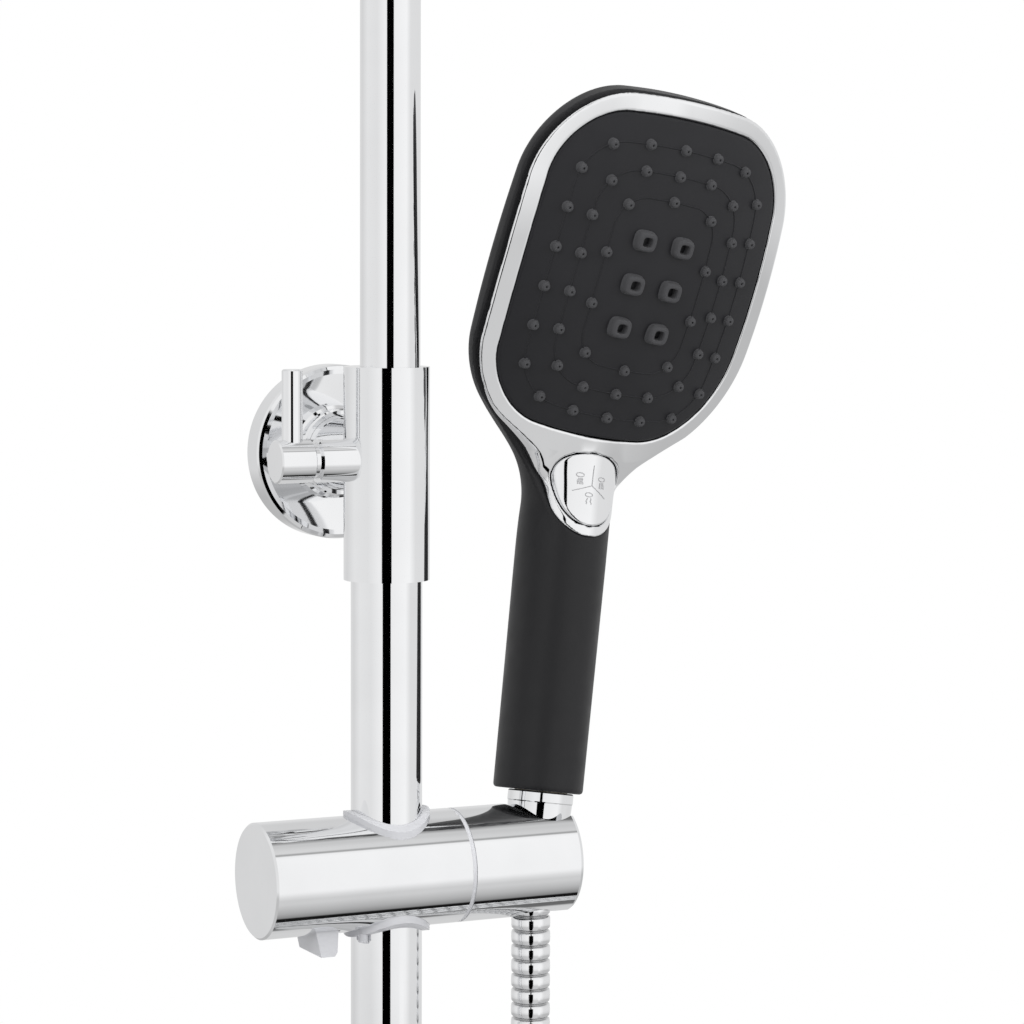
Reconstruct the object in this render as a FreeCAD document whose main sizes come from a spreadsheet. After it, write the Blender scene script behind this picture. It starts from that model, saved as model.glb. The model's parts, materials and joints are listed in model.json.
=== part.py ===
"""Shower set: riser column with a diverter tee, slider with tilting holder, hand shower and hose.

Millimetres, +Z up, +Y into the wall, +X to the right of someone who faces the wall.
The origin is the centre of the wall inlet, in the plane of the wall.
"""
import FreeCAD, Part
import Sketcher
import math
import os

Vector = FreeCAD.Vector
Rotation = FreeCAD.Rotation
Placement = FreeCAD.Placement

# Driving dimensions: alias, value in mm (or degrees, or a count), what it is
SIZES = [
    ("axis_reach", 52.5, "wall to the column's axis"),
    ("fit_gap", 0.05, "radial gap of a sliding or running fit"),
    ("tube_wall", 1.2, "wall of both tubes"),
    ("riser_radius", 10.5, "upper tube, outside"),
    ("riser_offset", 1.3, "upper tube's axis, to the right of the column's"),
    ("riser_top", 190.0, "upper tube's end above the inlet"),
    ("riser_socket", 22.0, "depth of the upper socket"),
    ("mouth_depth", 30.0, "upper tube's mouth for the next tube's spigot"),
    ("mouth_wall", 1.0, "tube wall at that mouth"),
    ("column_radius", 12.5, "lower tube, outside"),
    ("column_foot", 240.0, "lower tube's end below the inlet"),
    ("column_socket", 20.0, "depth of the lower socket"),
    ("tee_radius", 15.0, "tee's barrel"),
    ("tee_top", 32.2, "tee's top above the inlet"),
    ("tee_foot", 42.0, "tee's foot below the inlet"),
    ("waterway_radius", 8.0, "passage inside the tee"),
    ("branch_radius", 13.5, "tee's branch to the wall"),
    ("thread_radius", 10.48, "half-inch pipe thread"),
    ("inlet_depth", 12.0, "threaded length of the wall inlet"),
    ("washer_radius", 9.7, "inlet washer"),
    ("branch_bore", 7.5, "passage in the branch"),
    ("washer_bore", 6.0, "hole of the flat washers"),
    ("washer_thick", 2.0, "thickness of the flat washers"),
    ("seal_width", 2.4, "width of the ring seals"),
    ("seal_depth", 1.2, "depth of a ring seal's groove"),
    ("seal_inset", 9.0, "ring seal, from its socket's mouth"),
    ("screw_radius", 2.0, "grub screw"),
    ("screw_inset", 5.0, "grub screw, from its socket's mouth"),
    ("stub_radius", 7.5, "diverter stub and lever knob"),
    ("stub_reach", 26.3, "diverter stub's end, left of the column's axis"),
    ("cartridge_radius", 6.2, "diverter cartridge"),
    ("cartridge_nose", 2.5, "cartridge's collar in front of the stub"),
    ("cartridge_depth", 9.0, "cartridge's inner end, right of the column's axis"),
    ("cartridge_floor", 2.0, "closed end of the cartridge"),
    ("port_radius", 3.0, "water port of the diverter"),
    ("spindle_radius", 4.0, "diverter spindle"),
    ("spindle_nose", 3.0, "spindle's end inside the knob"),
    ("knob_length", 12.8, "lever knob"),
    ("pin_radius", 3.6, "lever pin"),
    ("pin_top", 31.7, "lever pin's top above its axis"),
    ("rosette_radius", 31.25, "wall rosette"),
    ("rosette_depth", 10.5, "rosette's rim in front of the wall"),
    ("rosette_wall", 2.2, "rosette's sheet"),
    ("collar_wall", 2.1, "rosette's collar round the branch"),
    ("collar_reach", 13.4, "collar's front in front of the wall"),
    ("dish_sink", 2.1, "how far the rosette's face sinks towards the collar"),
    ("outlet_length", 10.0, "threaded length of the foot outlet"),
    ("outlet_flange", 3.0, "flange of the foot outlet"),
    ("outlet_insert", 12.0, "part of the outlet inside the tube"),
    ("outlet_bore", 5.0, "passage of the outlet and the hose"),
    ("slider_drop", 144.8, "slider's axis below the inlet"),
    ("slider_radius", 20.25, "slider and holder"),
    ("slider_left", 49.3, "slider's left end from the column's axis"),
    ("slider_right", 24.3, "slider body's right end from the column's axis"),
    ("cap_thick", 2.0, "slider's end cap"),
    ("cap_spigot", 4.3, "end cap's spigot"),
    ("slider_wall", 5.75, "slider's wall round the clamp's space"),
    ("cavity_inner", 18.0, "inner end of that space, left of the axis"),
    ("bush_radius", 15.2, "slider's bush, outside"),
    ("bush_rise", 1.8, "bush's rim above the slider's surface"),
    ("nub_radius", 1.9, "stop nub under the bush"),
    ("shoe_radius", 5.0, "clamp shoe"),
    ("shoe_flange", 9.0, "spring seat on the shoe"),
    ("release_travel", 1.5, "release tab's way to the left"),
    ("tab_width", 8.8, "release tab, at the slider"),
    ("tab_centre", 26.8, "release tab, left of the column's axis"),
    ("tab_drop", 26.6, "release tab's foot below the slider's axis"),
    ("tab_depth", 20.0, "release tab, front to back"),
    ("tab_taper", 2.3, "tab's draw-in on the left"),
    ("spring_wire", 0.6, "wire radius of the clamp spring"),
    ("spring_radius", 6.0, "mean radius of the clamp spring"),
    ("spring_turns", 6, "turns of the clamp spring"),
    ("washer_gap", 1.6, "friction washer between slider and holder"),
    ("bolt_radius", 4.0, "holder's pivot bolt"),
    ("bolt_head", 6.9, "bolt's head"),
    ("bolt_seat", 13.4, "bolt's shoulder, right of the slider body's end"),
    ("wave_thick", 0.6, "wave washer under the bolt's head"),
    ("holder_end", 68.2, "holder's right end from the column's axis"),
    ("bore_centre", 58.0, "holder's bore on the slider's axis"),
    ("holder_lean", 8.85, "degrees, bore to the right"),
    ("rest_tilt", 5.91, "degrees, holder back to the wall"),
    ("handset_turn", 6.7, "degrees, hand shower about its own nut"),
    ("slot_width", 15.6, "hose slot in the holder's end"),
    ("mouth_radius", 14.7, "holder's wide mouth over the cone seat"),
    ("mouth_floor", 13.0, "mouth's floor, up the nut's axis from the slider's axis"),
    ("nut_top", 23.85, "cone nut's top above the slider's axis"),
    ("nut_foot", 18.0, "cone nut's foot below the slider's axis"),
    ("nut_top_radius", 11.8, "cone nut, top"),
    ("nut_foot_radius", 9.7, "cone nut, foot"),
    ("nut_gap", 0.15, "cone nut in the holder"),
    ("nut_thread", 9.6, "nut's thread on the hand shower, mean radius"),
    ("nut_shoulder", 6.0, "nut's inner shoulder above the slider's axis"),
    ("ferrule_radius", 8.0, "crimp ferrules of the hose"),
    ("ferrule_length", 13.0, "crimp ferrule at the hose's far end"),
    ("hose_radius", 7.0, "hose, over the ribs"),
    ("hose_bore", 5.4, "hose, inside"),
    ("hose_groove", 0.9, "depth between the ribs"),
    ("rib_pitch", 5.3, "hose rib to rib"),
    ("coil_radius", 70.0, "put-away coil, to the middle of the hose"),
    ("coil_turns", 3, "turns of the coil"),
    ("coil_pitch", 15.6, "strand to strand in the coil"),
    ("coil_centre", 417.0, "coil's centre below the inlet"),
    ("tail_length", 45.0, "straight end of the hose below the coil's side"),
    ("tie_width", 9.0, "strap round the coil"),
    ("tie_thick", 1.4, "strap's thickness"),
    ("tie_gap", 0.4, "strap to hose"),
    ("end_nut_flats", 25.0, "hose's far nut, across flats"),
    ("end_nut_length", 16.0, "hose's far nut"),
    ("handle_foot", 24.0, "handle's foot, up the nut's axis from the slider's axis"),
    ("handle_radius", 16.2, "handle"),
    ("neck_length", 97.0, "from the neck's foot to the face's centre, along the nut's axis"),
    ("handle_back", 2.2, "handle's axis behind the nut's axis"),
    ("inlet_radius", 11.5, "threaded inlet's plug in the handle"),
    ("inlet_top", 40.0, "plug's top, up the nut's axis"),
    ("tube_radius", 6.0, "water tube in the handle"),
    ("tube_back", 1.6, "water tube's axis behind the nut's axis"),
    ("tube_short", 55.0, "water tube's top below the face's centre"),
    ("bore_short", 91.0, "top of the handle bore's wide part below the face's centre"),
    ("face_up", 203.0, "face's centre, up the nut's axis"),
    ("face_front", 38.9, "face's centre, in front of the nut's axis"),
    ("face_tilt", 20.0, "degrees, face to the handle"),
    ("face_half_width", 49.4, "spray face"),
    ("face_half_height", 59.3, "spray face"),
    ("face_rise", 1.3, "outline's centre above the face's centre"),
    ("side_bow", 500.0, "radius of the outline's sides"),
    ("end_bow", 200.0, "radius of the outline's top and foot"),
    ("corner_radius", 27.0, "outline's upper corners"),
    ("foot_corner", 33.0, "outline's corners at the foot"),
    ("foot_lift", 3.5, "how much narrower the chrome frame is at the foot"),
    ("dome_across", 152.0, "face's curvature radius, side to side"),
    ("dome_along", 350.0, "face's curvature radius, top to foot"),
    ("plate_thick", 2.5, "face plate"),
    ("plate_gap", 0.1, "face plate to its neighbours"),
    ("bezel_width", 5.8, "chrome frame round the face"),
    ("bezel_proud", 0.4, "frame's front over the face"),
    ("shell_step", 0.7, "shell's outline over the frame"),
    ("shell_front", 12.0, "shell's front edge behind the face's centre"),
    ("shell_back", 29.5, "shell's back behind the face's centre"),
    ("shell_rim", 6.0, "straight part of the shell's side"),
    ("back_edge", 30.0, "half axis of the shell's rounded back, along the face"),
    ("chamber_back", 20.0, "floor of the head's pocket behind the face's centre"),
    ("chamber_wall", 3.0, "spray chamber"),
    ("nozzle_radius", 2.2, "spray nozzle"),
    ("nozzle_tip", 1.5, "spray nozzle's tip"),
    ("nozzle_rise", 1.5, "spray nozzle over the face"),
    ("jet_width", 8.4, "centre jet, across"),
    ("jet_height", 7.4, "centre jet, along"),
    ("jet_rise", 3.0, "centre jet over the face"),
    ("jet_bore", 1.5, "hole of a centre jet"),
    ("jet_pitch", 16.0, "centre jets, one to the next"),
    ("tongue_thick", 1.0, "chrome tongue on the handle"),
    ("button_rise", 1.6, "mode button over the handle"),
    ("button_depth", 3.0, "mode button inside the handle"),
    ("button_travel", 1.2, "mode button's way in"),
    ("button_gap", 0.35, "mode button all round"),
]

doc = FreeCAD.newDocument("shower_set")
sheet = doc.addObject("Spreadsheet::Sheet", "sizes")


class Size:
    """A length that knows its number and the expression that gives it."""

    def __init__(self, number, text):
        self.number = number
        self.text = text

    def join(self, other, sign, swap=False):
        other = other if isinstance(other, Size) else Size(other, repr(other))
        left, right = (other, self) if swap else (self, other)
        number = {
            "+": left.number + right.number,
            "-": left.number - right.number,
            "*": left.number * right.number,
        }[sign]
        return Size(number, "(%s %s %s)" % (left.text, sign, right.text))

    def __add__(self, other):
        return self.join(other, "+")

    def __radd__(self, other):
        return self.join(other, "+", True)

    def __sub__(self, other):
        return self.join(other, "-")

    def __rsub__(self, other):
        return self.join(other, "-", True)

    def __mul__(self, other):
        return self.join(other, "*")

    def __rmul__(self, other):
        return self.join(other, "*", True)

    def __neg__(self):
        return self * -1.0


class Sizes:
    """Gives each cell of the sheet by its alias."""

    def __init__(self, rows):
        for line, (alias, value, note) in enumerate(rows, start=1):
            sheet.set("A%d" % line, alias)
            sheet.set("B%d" % line, str(value))
            sheet.set("C%d" % line, note)
            sheet.setAlias("B%d" % line, alias)
            setattr(self, alias, Size(float(value), "sizes." + alias))


d = Sizes(SIZES)
d.cavity_radius = d.slider_radius - d.slider_wall
d.neck_foot = d.face_up - d.neck_length
d.water_tube_top = d.face_up - d.tube_short
d.wide_bore_top = d.face_up - d.bore_short
doc.recompute()

TURNS = {
    "Z": Rotation(),
    "-Z": Rotation(Vector(1, 0, 0), 180),
    "X": Rotation(Vector(0, 1, 0), 90),
    "-X": Rotation(Vector(0, 1, 0), -90),
    "Y": Rotation(Vector(1, 0, 0), -90),
    "-Y": Rotation(Vector(1, 0, 0), 90),
}
AXIS = (0, -d.axis_reach, 0)
SLIDER = (0, -d.axis_reach, -d.slider_drop)
LOCAL = (0, 0, 0)
finished = []


def number(value):
    return value.number if isinstance(value, Size) else float(value)


def bind(item, name, value):
    """Ties a property to the sheet, or sets it where it is a plain number."""
    if isinstance(value, Size):
        item.setExpression(name, value.text)


def put(item, at, along="Z"):
    """Places an object, with its axis along one of the row's axes."""
    item.Placement = Placement(Vector(*[number(value) for value in at]), TURNS[along])
    for letter, value in zip("xyz", at):
        bind(item, "Placement.Base." + letter, value)
    return item


def shifted(at, x=0, y=0, z=0):
    return (at[0] + x, at[1] + y, at[2] + z)


def cylinder(name, radius, length, at, along="Z"):
    item = doc.addObject("Part::Cylinder", name)
    item.Radius = number(radius)
    item.Height = number(length)
    bind(item, "Radius", radius)
    bind(item, "Height", length)
    return put(item, at, along)


def cone(name, low_radius, high_radius, length, at, along="Z"):
    item = doc.addObject("Part::Cone", name)
    for key, value in (("Radius1", low_radius), ("Radius2", high_radius), ("Height", length)):
        setattr(item, key, number(value))
        bind(item, key, value)
    return put(item, at, along)


def box(name, lengths, at):
    item = doc.addObject("Part::Box", name)
    for key, value in zip(("Length", "Width", "Height"), lengths):
        setattr(item, key, number(value))
        bind(item, key, value)
    return put(item, at)


def solid(name, shape):
    """A free form that no primitive gives."""
    item = doc.addObject("Part::Feature", name)
    item.Shape = shape
    return item


def fuse(name, *items):
    item = doc.addObject("Part::MultiFuse", name)
    item.Shapes = list(items)
    return item


def common(name, *items):
    item = doc.addObject("Part::MultiCommon", name)
    item.Shapes = list(items)
    return item


def cut(name, base, *tools):
    item = doc.addObject("Part::Cut", name)
    item.Base = base
    item.Tool = tools[0] if len(tools) == 1 else fuse(name + "_tools", *tools)
    return item


def group(name, *items):
    item = doc.addObject("Part::Compound", name)
    item.Links = list(items)
    return item


def turned(name, rows, at, along="Z"):
    """A body of revolution: rows of (radius, height) go once round its half section."""
    body = doc.addObject("PartDesign::Body", name)
    sketch = body.newObject("Sketcher::SketchObject", name + "_section")
    plane = [item for item in body.Origin.OriginFeatures if item.Role == "XZ_Plane"][0]
    sketch.AttachmentSupport = (plane, [""])
    sketch.MapMode = "FlatFace"
    corners = [Vector(number(radius), number(height), 0) for radius, height in rows]
    count = len(corners)
    for index in range(count):
        sketch.addGeometry(Part.LineSegment(corners[index], corners[(index + 1) % count]), False)
    for index in range(count):
        sketch.addConstraint(Sketcher.Constraint("Coincident", index, 2, (index + 1) % count, 1))
    for index, (radius, height) in enumerate(rows):
        for kind, value, axis in (("DistanceX", radius, -2), ("DistanceY", height, -1)):
            if number(value) == 0.0:
                sketch.addConstraint(Sketcher.Constraint("PointOnObject", index, 1, axis))
                continue
            place = sketch.addConstraint(Sketcher.Constraint(kind, -1, 1, index, 1, number(value)))
            bind(sketch, "Constraints[%d]" % place, value)
    revolution = body.newObject("PartDesign::Revolution", name + "_turn")
    revolution.Profile = sketch
    revolution.ReferenceAxis = (sketch, ["V_Axis"])
    revolution.Angle = 360
    body.Tip = revolution
    return put(body, at, along)


def ring(name, inner, outer, length, at, along="Z"):
    return turned(name, [(inner, 0), (outer, 0), (outer, length), (inner, length)], at, along)


def keep(label, item, place=None):
    """Names a finished piece, and carries it from the frame that it was drawn in to the row's."""
    if place is not None:
        item = group(label + "_placed", item)
        item.Placement = place
    item.Label = label
    finished.append(item)
    return item


# Frames of the tilted pieces
SLIDER_PLACE = Placement(Vector(*[number(value) for value in SLIDER]), Rotation())
TILT_PLACE = SLIDER_PLACE.multiply(Placement(Vector(), Rotation(Vector(1, 0, 0), -d.rest_tilt.number)))
LEAN = Rotation(Vector(0, 1, 0), d.holder_lean.number)
BORE = Placement(Vector(d.bore_centre.number, 0, 0), LEAN)
NUT_PLACE = TILT_PLACE.multiply(BORE)
HANDSET_PLACE = NUT_PLACE.multiply(Placement(Vector(), Rotation(Vector(0, 0, 1), d.handset_turn.number)))
FACE = Placement(
    Vector(0, -d.face_front.number, d.face_up.number),
    Rotation(Vector(1, 0, 0), 90 + d.face_tilt.number),
)


# Fixed column

def make_tee():
    branch = cylinder("tee_branch", d.branch_radius, d.axis_reach, AXIS, "Y")
    barrel = cylinder("tee_barrel", d.tee_radius, d.tee_top + d.tee_foot, shifted(AXIS, z=-d.tee_foot))
    stub = cylinder("tee_stub", d.stub_radius, d.stub_reach, AXIS, "-X")
    outside = fuse("tee_outside", barrel, branch, stub)
    riser_floor = d.tee_top - d.riser_socket
    column_floor = d.column_socket - d.tee_foot
    riser = shifted(AXIS, x=d.riser_offset)
    half_seal = d.seal_width * 0.5
    washer_at = shifted(AXIS, y=d.axis_reach - d.inlet_depth - d.washer_thick)
    hollows = [
        cylinder("riser_hole", d.riser_radius + d.fit_gap, d.riser_socket, shifted(riser, z=riser_floor)),
        cylinder("column_hole", d.column_radius + d.fit_gap, d.column_socket, shifted(AXIS, z=-d.tee_foot)),
        cylinder("waterway", d.waterway_radius, riser_floor - column_floor, shifted(AXIS, z=column_floor)),
        cylinder("branch_way", d.branch_bore, d.axis_reach, AXIS, "Y"),
        cylinder("inlet_thread", d.thread_radius, d.inlet_depth, shifted(AXIS, y=d.axis_reach - d.inlet_depth), "Y"),
        cylinder("washer_seat", d.washer_radius + d.fit_gap, d.washer_thick, washer_at, "Y"),
        cylinder(
            "cartridge_hole", d.cartridge_radius + d.fit_gap, d.stub_reach + d.cartridge_depth,
            shifted(AXIS, x=d.cartridge_depth), "-X",
        ),
        cylinder(
            "riser_groove", d.riser_radius + d.seal_depth, d.seal_width,
            shifted(riser, z=d.tee_top - d.seal_inset - half_seal),
        ),
        cylinder(
            "column_groove", d.column_radius + d.seal_depth, d.seal_width,
            shifted(AXIS, z=d.seal_inset - d.tee_foot - half_seal),
        ),
        cylinder(
            "riser_screw_hole", d.screw_radius + d.fit_gap, d.tee_radius,
            shifted(riser, z=d.tee_top - d.screw_inset), "Y",
        ),
        cylinder(
            "column_screw_hole", d.screw_radius + d.fit_gap, d.tee_radius,
            shifted(AXIS, z=d.screw_inset - d.tee_foot), "Y",
        ),
    ]
    keep("tee_body", cut("tee", outside, *hollows))
    keep("inlet_washer", ring(
        "inlet_flat_washer", d.washer_bore, d.washer_radius, d.washer_thick, washer_at, "Y",
    ))
    slack = d.fit_gap
    keep("riser_seal", ring(
        "riser_ring", d.riser_radius + slack, d.riser_radius + d.seal_depth - slack, d.seal_width - 2 * slack,
        shifted(riser, z=d.tee_top - d.seal_inset - half_seal + slack),
    ))
    keep("column_seal", ring(
        "column_ring", d.column_radius + slack, d.column_radius + d.seal_depth - slack, d.seal_width - 2 * slack,
        shifted(AXIS, z=d.seal_inset - d.tee_foot - half_seal + slack),
    ))
    riser_tip = d.riser_radius + d.fit_gap
    column_tip = d.column_radius + d.fit_gap
    head_sink = 0.4
    riser_screw = cylinder(
        "riser_screw", d.screw_radius, d.tee_radius - riser_tip - head_sink,
        shifted(riser, y=riser_tip, z=d.tee_top - d.screw_inset), "Y",
    )
    column_screw = cylinder(
        "column_screw", d.screw_radius, d.tee_radius - column_tip - head_sink,
        shifted(AXIS, y=column_tip, z=d.screw_inset - d.tee_foot), "Y",
    )
    keep("tube_screws", group("tube_screw_pair", riser_screw, column_screw))


def make_tubes():
    riser_floor = d.tee_top - d.riser_socket
    riser = shifted(AXIS, x=d.riser_offset, z=riser_floor)
    length = d.riser_top - riser_floor
    bore = d.riser_radius - d.tube_wall
    mouth = d.riser_radius - d.mouth_wall
    keep("riser_tube", turned("riser", [
        (bore, 0), (d.riser_radius, 0), (d.riser_radius, length), (mouth, length),
        (mouth, length - d.mouth_depth), (bore, length - d.mouth_depth),
    ], riser))
    keep("column_tube", ring(
        "column", d.column_radius - d.tube_wall, d.column_radius, d.column_foot - d.tee_foot + d.column_socket,
        shifted(AXIS, z=-d.column_foot),
    ))
    inside = d.column_radius - d.tube_wall - d.fit_gap
    flange = d.outlet_length
    seat = flange + d.outlet_flange
    groove = seat + d.outlet_insert * 0.4
    foot = shifted(AXIS, z=-(d.column_foot + d.outlet_flange + d.outlet_length))
    floor = inside - d.seal_depth
    keep("hose_outlet", turned("outlet", [
        (d.outlet_bore, 0), (d.thread_radius, 0), (d.thread_radius, flange), (d.column_radius, flange),
        (d.column_radius, seat), (inside, seat), (inside, groove), (floor, groove),
        (floor, groove + d.seal_width), (inside, groove + d.seal_width),
        (inside, seat + d.outlet_insert), (d.outlet_bore, seat + d.outlet_insert),
    ], foot))
    keep("outlet_ring", ring(
        "outlet_seal", floor + d.fit_gap, inside, d.seal_width - 2 * d.fit_gap,
        shifted(foot, z=groove + d.fit_gap),
    ))


def make_rosette():
    """A turned shell: deep rim, dished face and a collar with a seal round the branch."""
    rim = d.rosette_radius
    bore = d.branch_radius + d.fit_gap
    collar = bore + d.collar_wall
    root = d.rosette_depth - d.dish_sink
    groove = d.collar_reach - d.collar_wall - d.seal_width
    groove_radius = bore + d.collar_wall * 0.5
    edge = 1.6
    inner_rim = rim - d.rosette_wall
    keep("wall_rosette", turned("rosette", [
        (inner_rim, 0), (rim, 0), (rim, d.rosette_depth - edge), (rim - 0.45, d.rosette_depth - 0.5),
        (rim - edge, d.rosette_depth), (rim - 2 * edge, d.rosette_depth - 0.1), (collar + 1.0, root),
        (collar, root + 0.8), (collar, d.collar_reach - 0.6), (collar - 0.6, d.collar_reach),
        (bore, d.collar_reach), (bore, groove + d.seal_width), (groove_radius, groove + d.seal_width),
        (groove_radius, groove), (bore, groove), (bore, root - d.rosette_wall),
        (inner_rim, d.rosette_depth - d.rosette_wall),
    ], LOCAL, "-Y"))
    keep("rosette_seal", ring(
        "collar_ring", bore, groove_radius - d.fit_gap, d.seal_width - 2 * d.fit_gap,
        (0, -(groove + d.fit_gap), 0), "-Y",
    ))


def make_diverter():
    """Cartridge in the stub, and the lever that turns its spindle."""
    inner = shifted(AXIS, x=d.cartridge_depth)
    stub_end = d.cartridge_depth + d.stub_reach
    nose = stub_end + d.cartridge_nose
    bore = d.spindle_radius + d.fit_gap
    groove = stub_end - d.seal_inset
    groove_radius = d.spindle_radius + d.seal_depth
    sleeve = turned("cartridge_sleeve", [
        (0, 0), (d.cartridge_radius, 0), (d.cartridge_radius, stub_end), (d.cartridge_radius - 0.3, stub_end),
        (d.cartridge_radius - 0.3, nose), (bore, nose), (bore, groove + d.seal_width),
        (groove_radius, groove + d.seal_width), (groove_radius, groove), (bore, groove),
        (bore, d.cartridge_floor), (0, d.cartridge_floor),
    ], inner, "-X")
    port_length = d.cartridge_radius * 2 + 2
    ports = cylinder("ports", d.port_radius, port_length, shifted(AXIS, z=-d.cartridge_radius - 1))
    keep("diverter_cartridge", cut("cartridge", sleeve, ports))
    keep("spindle_seal", ring(
        "spindle_ring", bore, groove_radius - d.fit_gap, d.seal_width - 2 * d.fit_gap,
        shifted(inner, x=-(groove + d.fit_gap)), "-X",
    ))
    float_gap = 2 * d.fit_gap
    knob_face = d.stub_reach + d.cartridge_nose + 2 * float_gap
    spindle_length = d.cartridge_depth - d.cartridge_floor + d.stub_reach + d.cartridge_nose * 0.5 - float_gap
    nose_length = d.knob_length * 0.75
    start = shifted(AXIS, x=d.cartridge_depth - d.cartridge_floor - float_gap)
    end = knob_face + d.cartridge_depth - d.cartridge_floor - float_gap + nose_length
    round_bar = turned("spindle_bar", [
        (0, 0), (d.spindle_radius, 0), (d.spindle_radius, spindle_length), (d.spindle_nose, spindle_length),
        (d.spindle_nose, end), (0, end),
    ], start, "-X")
    half_height = d.spindle_radius + 1
    gate = box(
        "spindle_gate", (d.port_radius * 2 + 2, 2 * half_height, half_height),
        shifted(AXIS, x=-d.port_radius - 1, y=-half_height, z=0.8),
    )
    keep("diverter_spindle", cut("spindle", round_bar, gate))
    hole = d.spindle_nose + d.fit_gap
    edge = 0.5
    knob_at = shifted(AXIS, x=-knob_face)
    knob_bar = turned("knob_bar", [
        (hole, 0), (d.stub_radius - edge * 0.5, 0), (d.stub_radius, edge * 0.5),
        (d.stub_radius, d.knob_length - edge), (d.stub_radius - edge, d.knob_length), (0, d.knob_length),
        (0, nose_length + float_gap), (hole, nose_length + float_gap),
    ], knob_at, "-X")
    middle = shifted(knob_at, x=-d.knob_length * 0.5)
    screw_length = d.stub_radius - hole - 0.3
    pin_hole = cylinder("pin_hole", d.pin_radius + d.fit_gap, d.stub_radius, middle)
    screw_hole = cylinder("lever_screw_hole", d.screw_radius * 0.75 + d.fit_gap, d.stub_radius, middle, "-Z")
    keep("lever_knob", cut("knob", knob_bar, pin_hole, screw_hole))
    pin_foot = hole + d.fit_gap
    pin_length = d.pin_top - pin_foot
    keep("lever_pin", turned("pin", [
        (0, 0), (d.pin_radius, 0), (d.pin_radius, pin_length - edge), (d.pin_radius - edge, pin_length),
        (0, pin_length),
    ], shifted(middle, z=pin_foot)))
    keep("lever_screw", cylinder(
        "lever_grub_screw", d.screw_radius * 0.75, screw_length, shifted(middle, z=-hole), "-Z",
    ))


# Slider and holder

def biarcs(points, tangents):
    """Edges of a smooth line: two tangent arcs from each point to the next."""
    edges = []
    for start, end, leave, arrive in zip(points, points[1:], tangents, tangents[1:]):
        chord = end - start
        both = leave + arrive
        square = 2.0 * (leave.dot(arrive) - 1.0)
        linear = -2.0 * chord.dot(both)
        if abs(square) < 1e-9:
            reach = -chord.dot(chord) / linear
        else:
            root = math.sqrt(linear * linear - 4.0 * square * chord.dot(chord))
            reach = (-linear - root) / (2.0 * square)
        first = start + leave * reach
        last = end - arrive * reach
        joint = (first + last) * 0.5
        for low, control, high in ((start, first, joint), (joint, last, end)):
            middle = (low + high) * 0.5
            half = (high - low).Length / 2.0
            rise = control - middle
            if rise.Length < 1e-6 * half:
                edges.append(Part.LineSegment(low, high).toShape())
                continue
            angle = math.atan2(rise.Length, half)
            peak = middle + rise.normalize() * (half * math.tan(angle / 2.0))
            edges.append(Part.Arc(low, peak, high).toShape())
    return edges


def swept(edges, radius):
    """A round tube along the edges."""
    path = Part.Wire(edges)
    first = path.OrderedEdges[0]
    start = first.valueAt(first.FirstParameter)
    circle = Part.Wire(Part.Circle(start, first.tangentAt(first.FirstParameter), radius).toShape())
    shell = Part.BRepOffsetAPI.MakePipeShell(path)
    shell.add(circle)
    shell.build()
    shell.makeSolid()
    return shell.shape()


def least_gap(points, radius, skip):
    """Least distance between a tube's surfaces, leaving out points close by along it."""
    least = min(
        (points[low] - points[high]).Length
        for low in range(len(points))
        for high in range(low + skip, len(points))
    )
    return least - 2.0 * radius


def helix(radius, pitch, turns, steps):
    """Points and tangents of a helix about +Z that starts on +X."""
    points = []
    tangents = []
    for index in range(int(turns * steps) + 1):
        angle = 2.0 * math.pi * index / steps
        points.append(Vector(radius * math.cos(angle), radius * math.sin(angle), pitch * index / steps))
        slope = Vector(-radius * math.sin(angle), radius * math.cos(angle), pitch / (2.0 * math.pi))
        tangents.append(slope.normalize())
    return points, tangents


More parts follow.
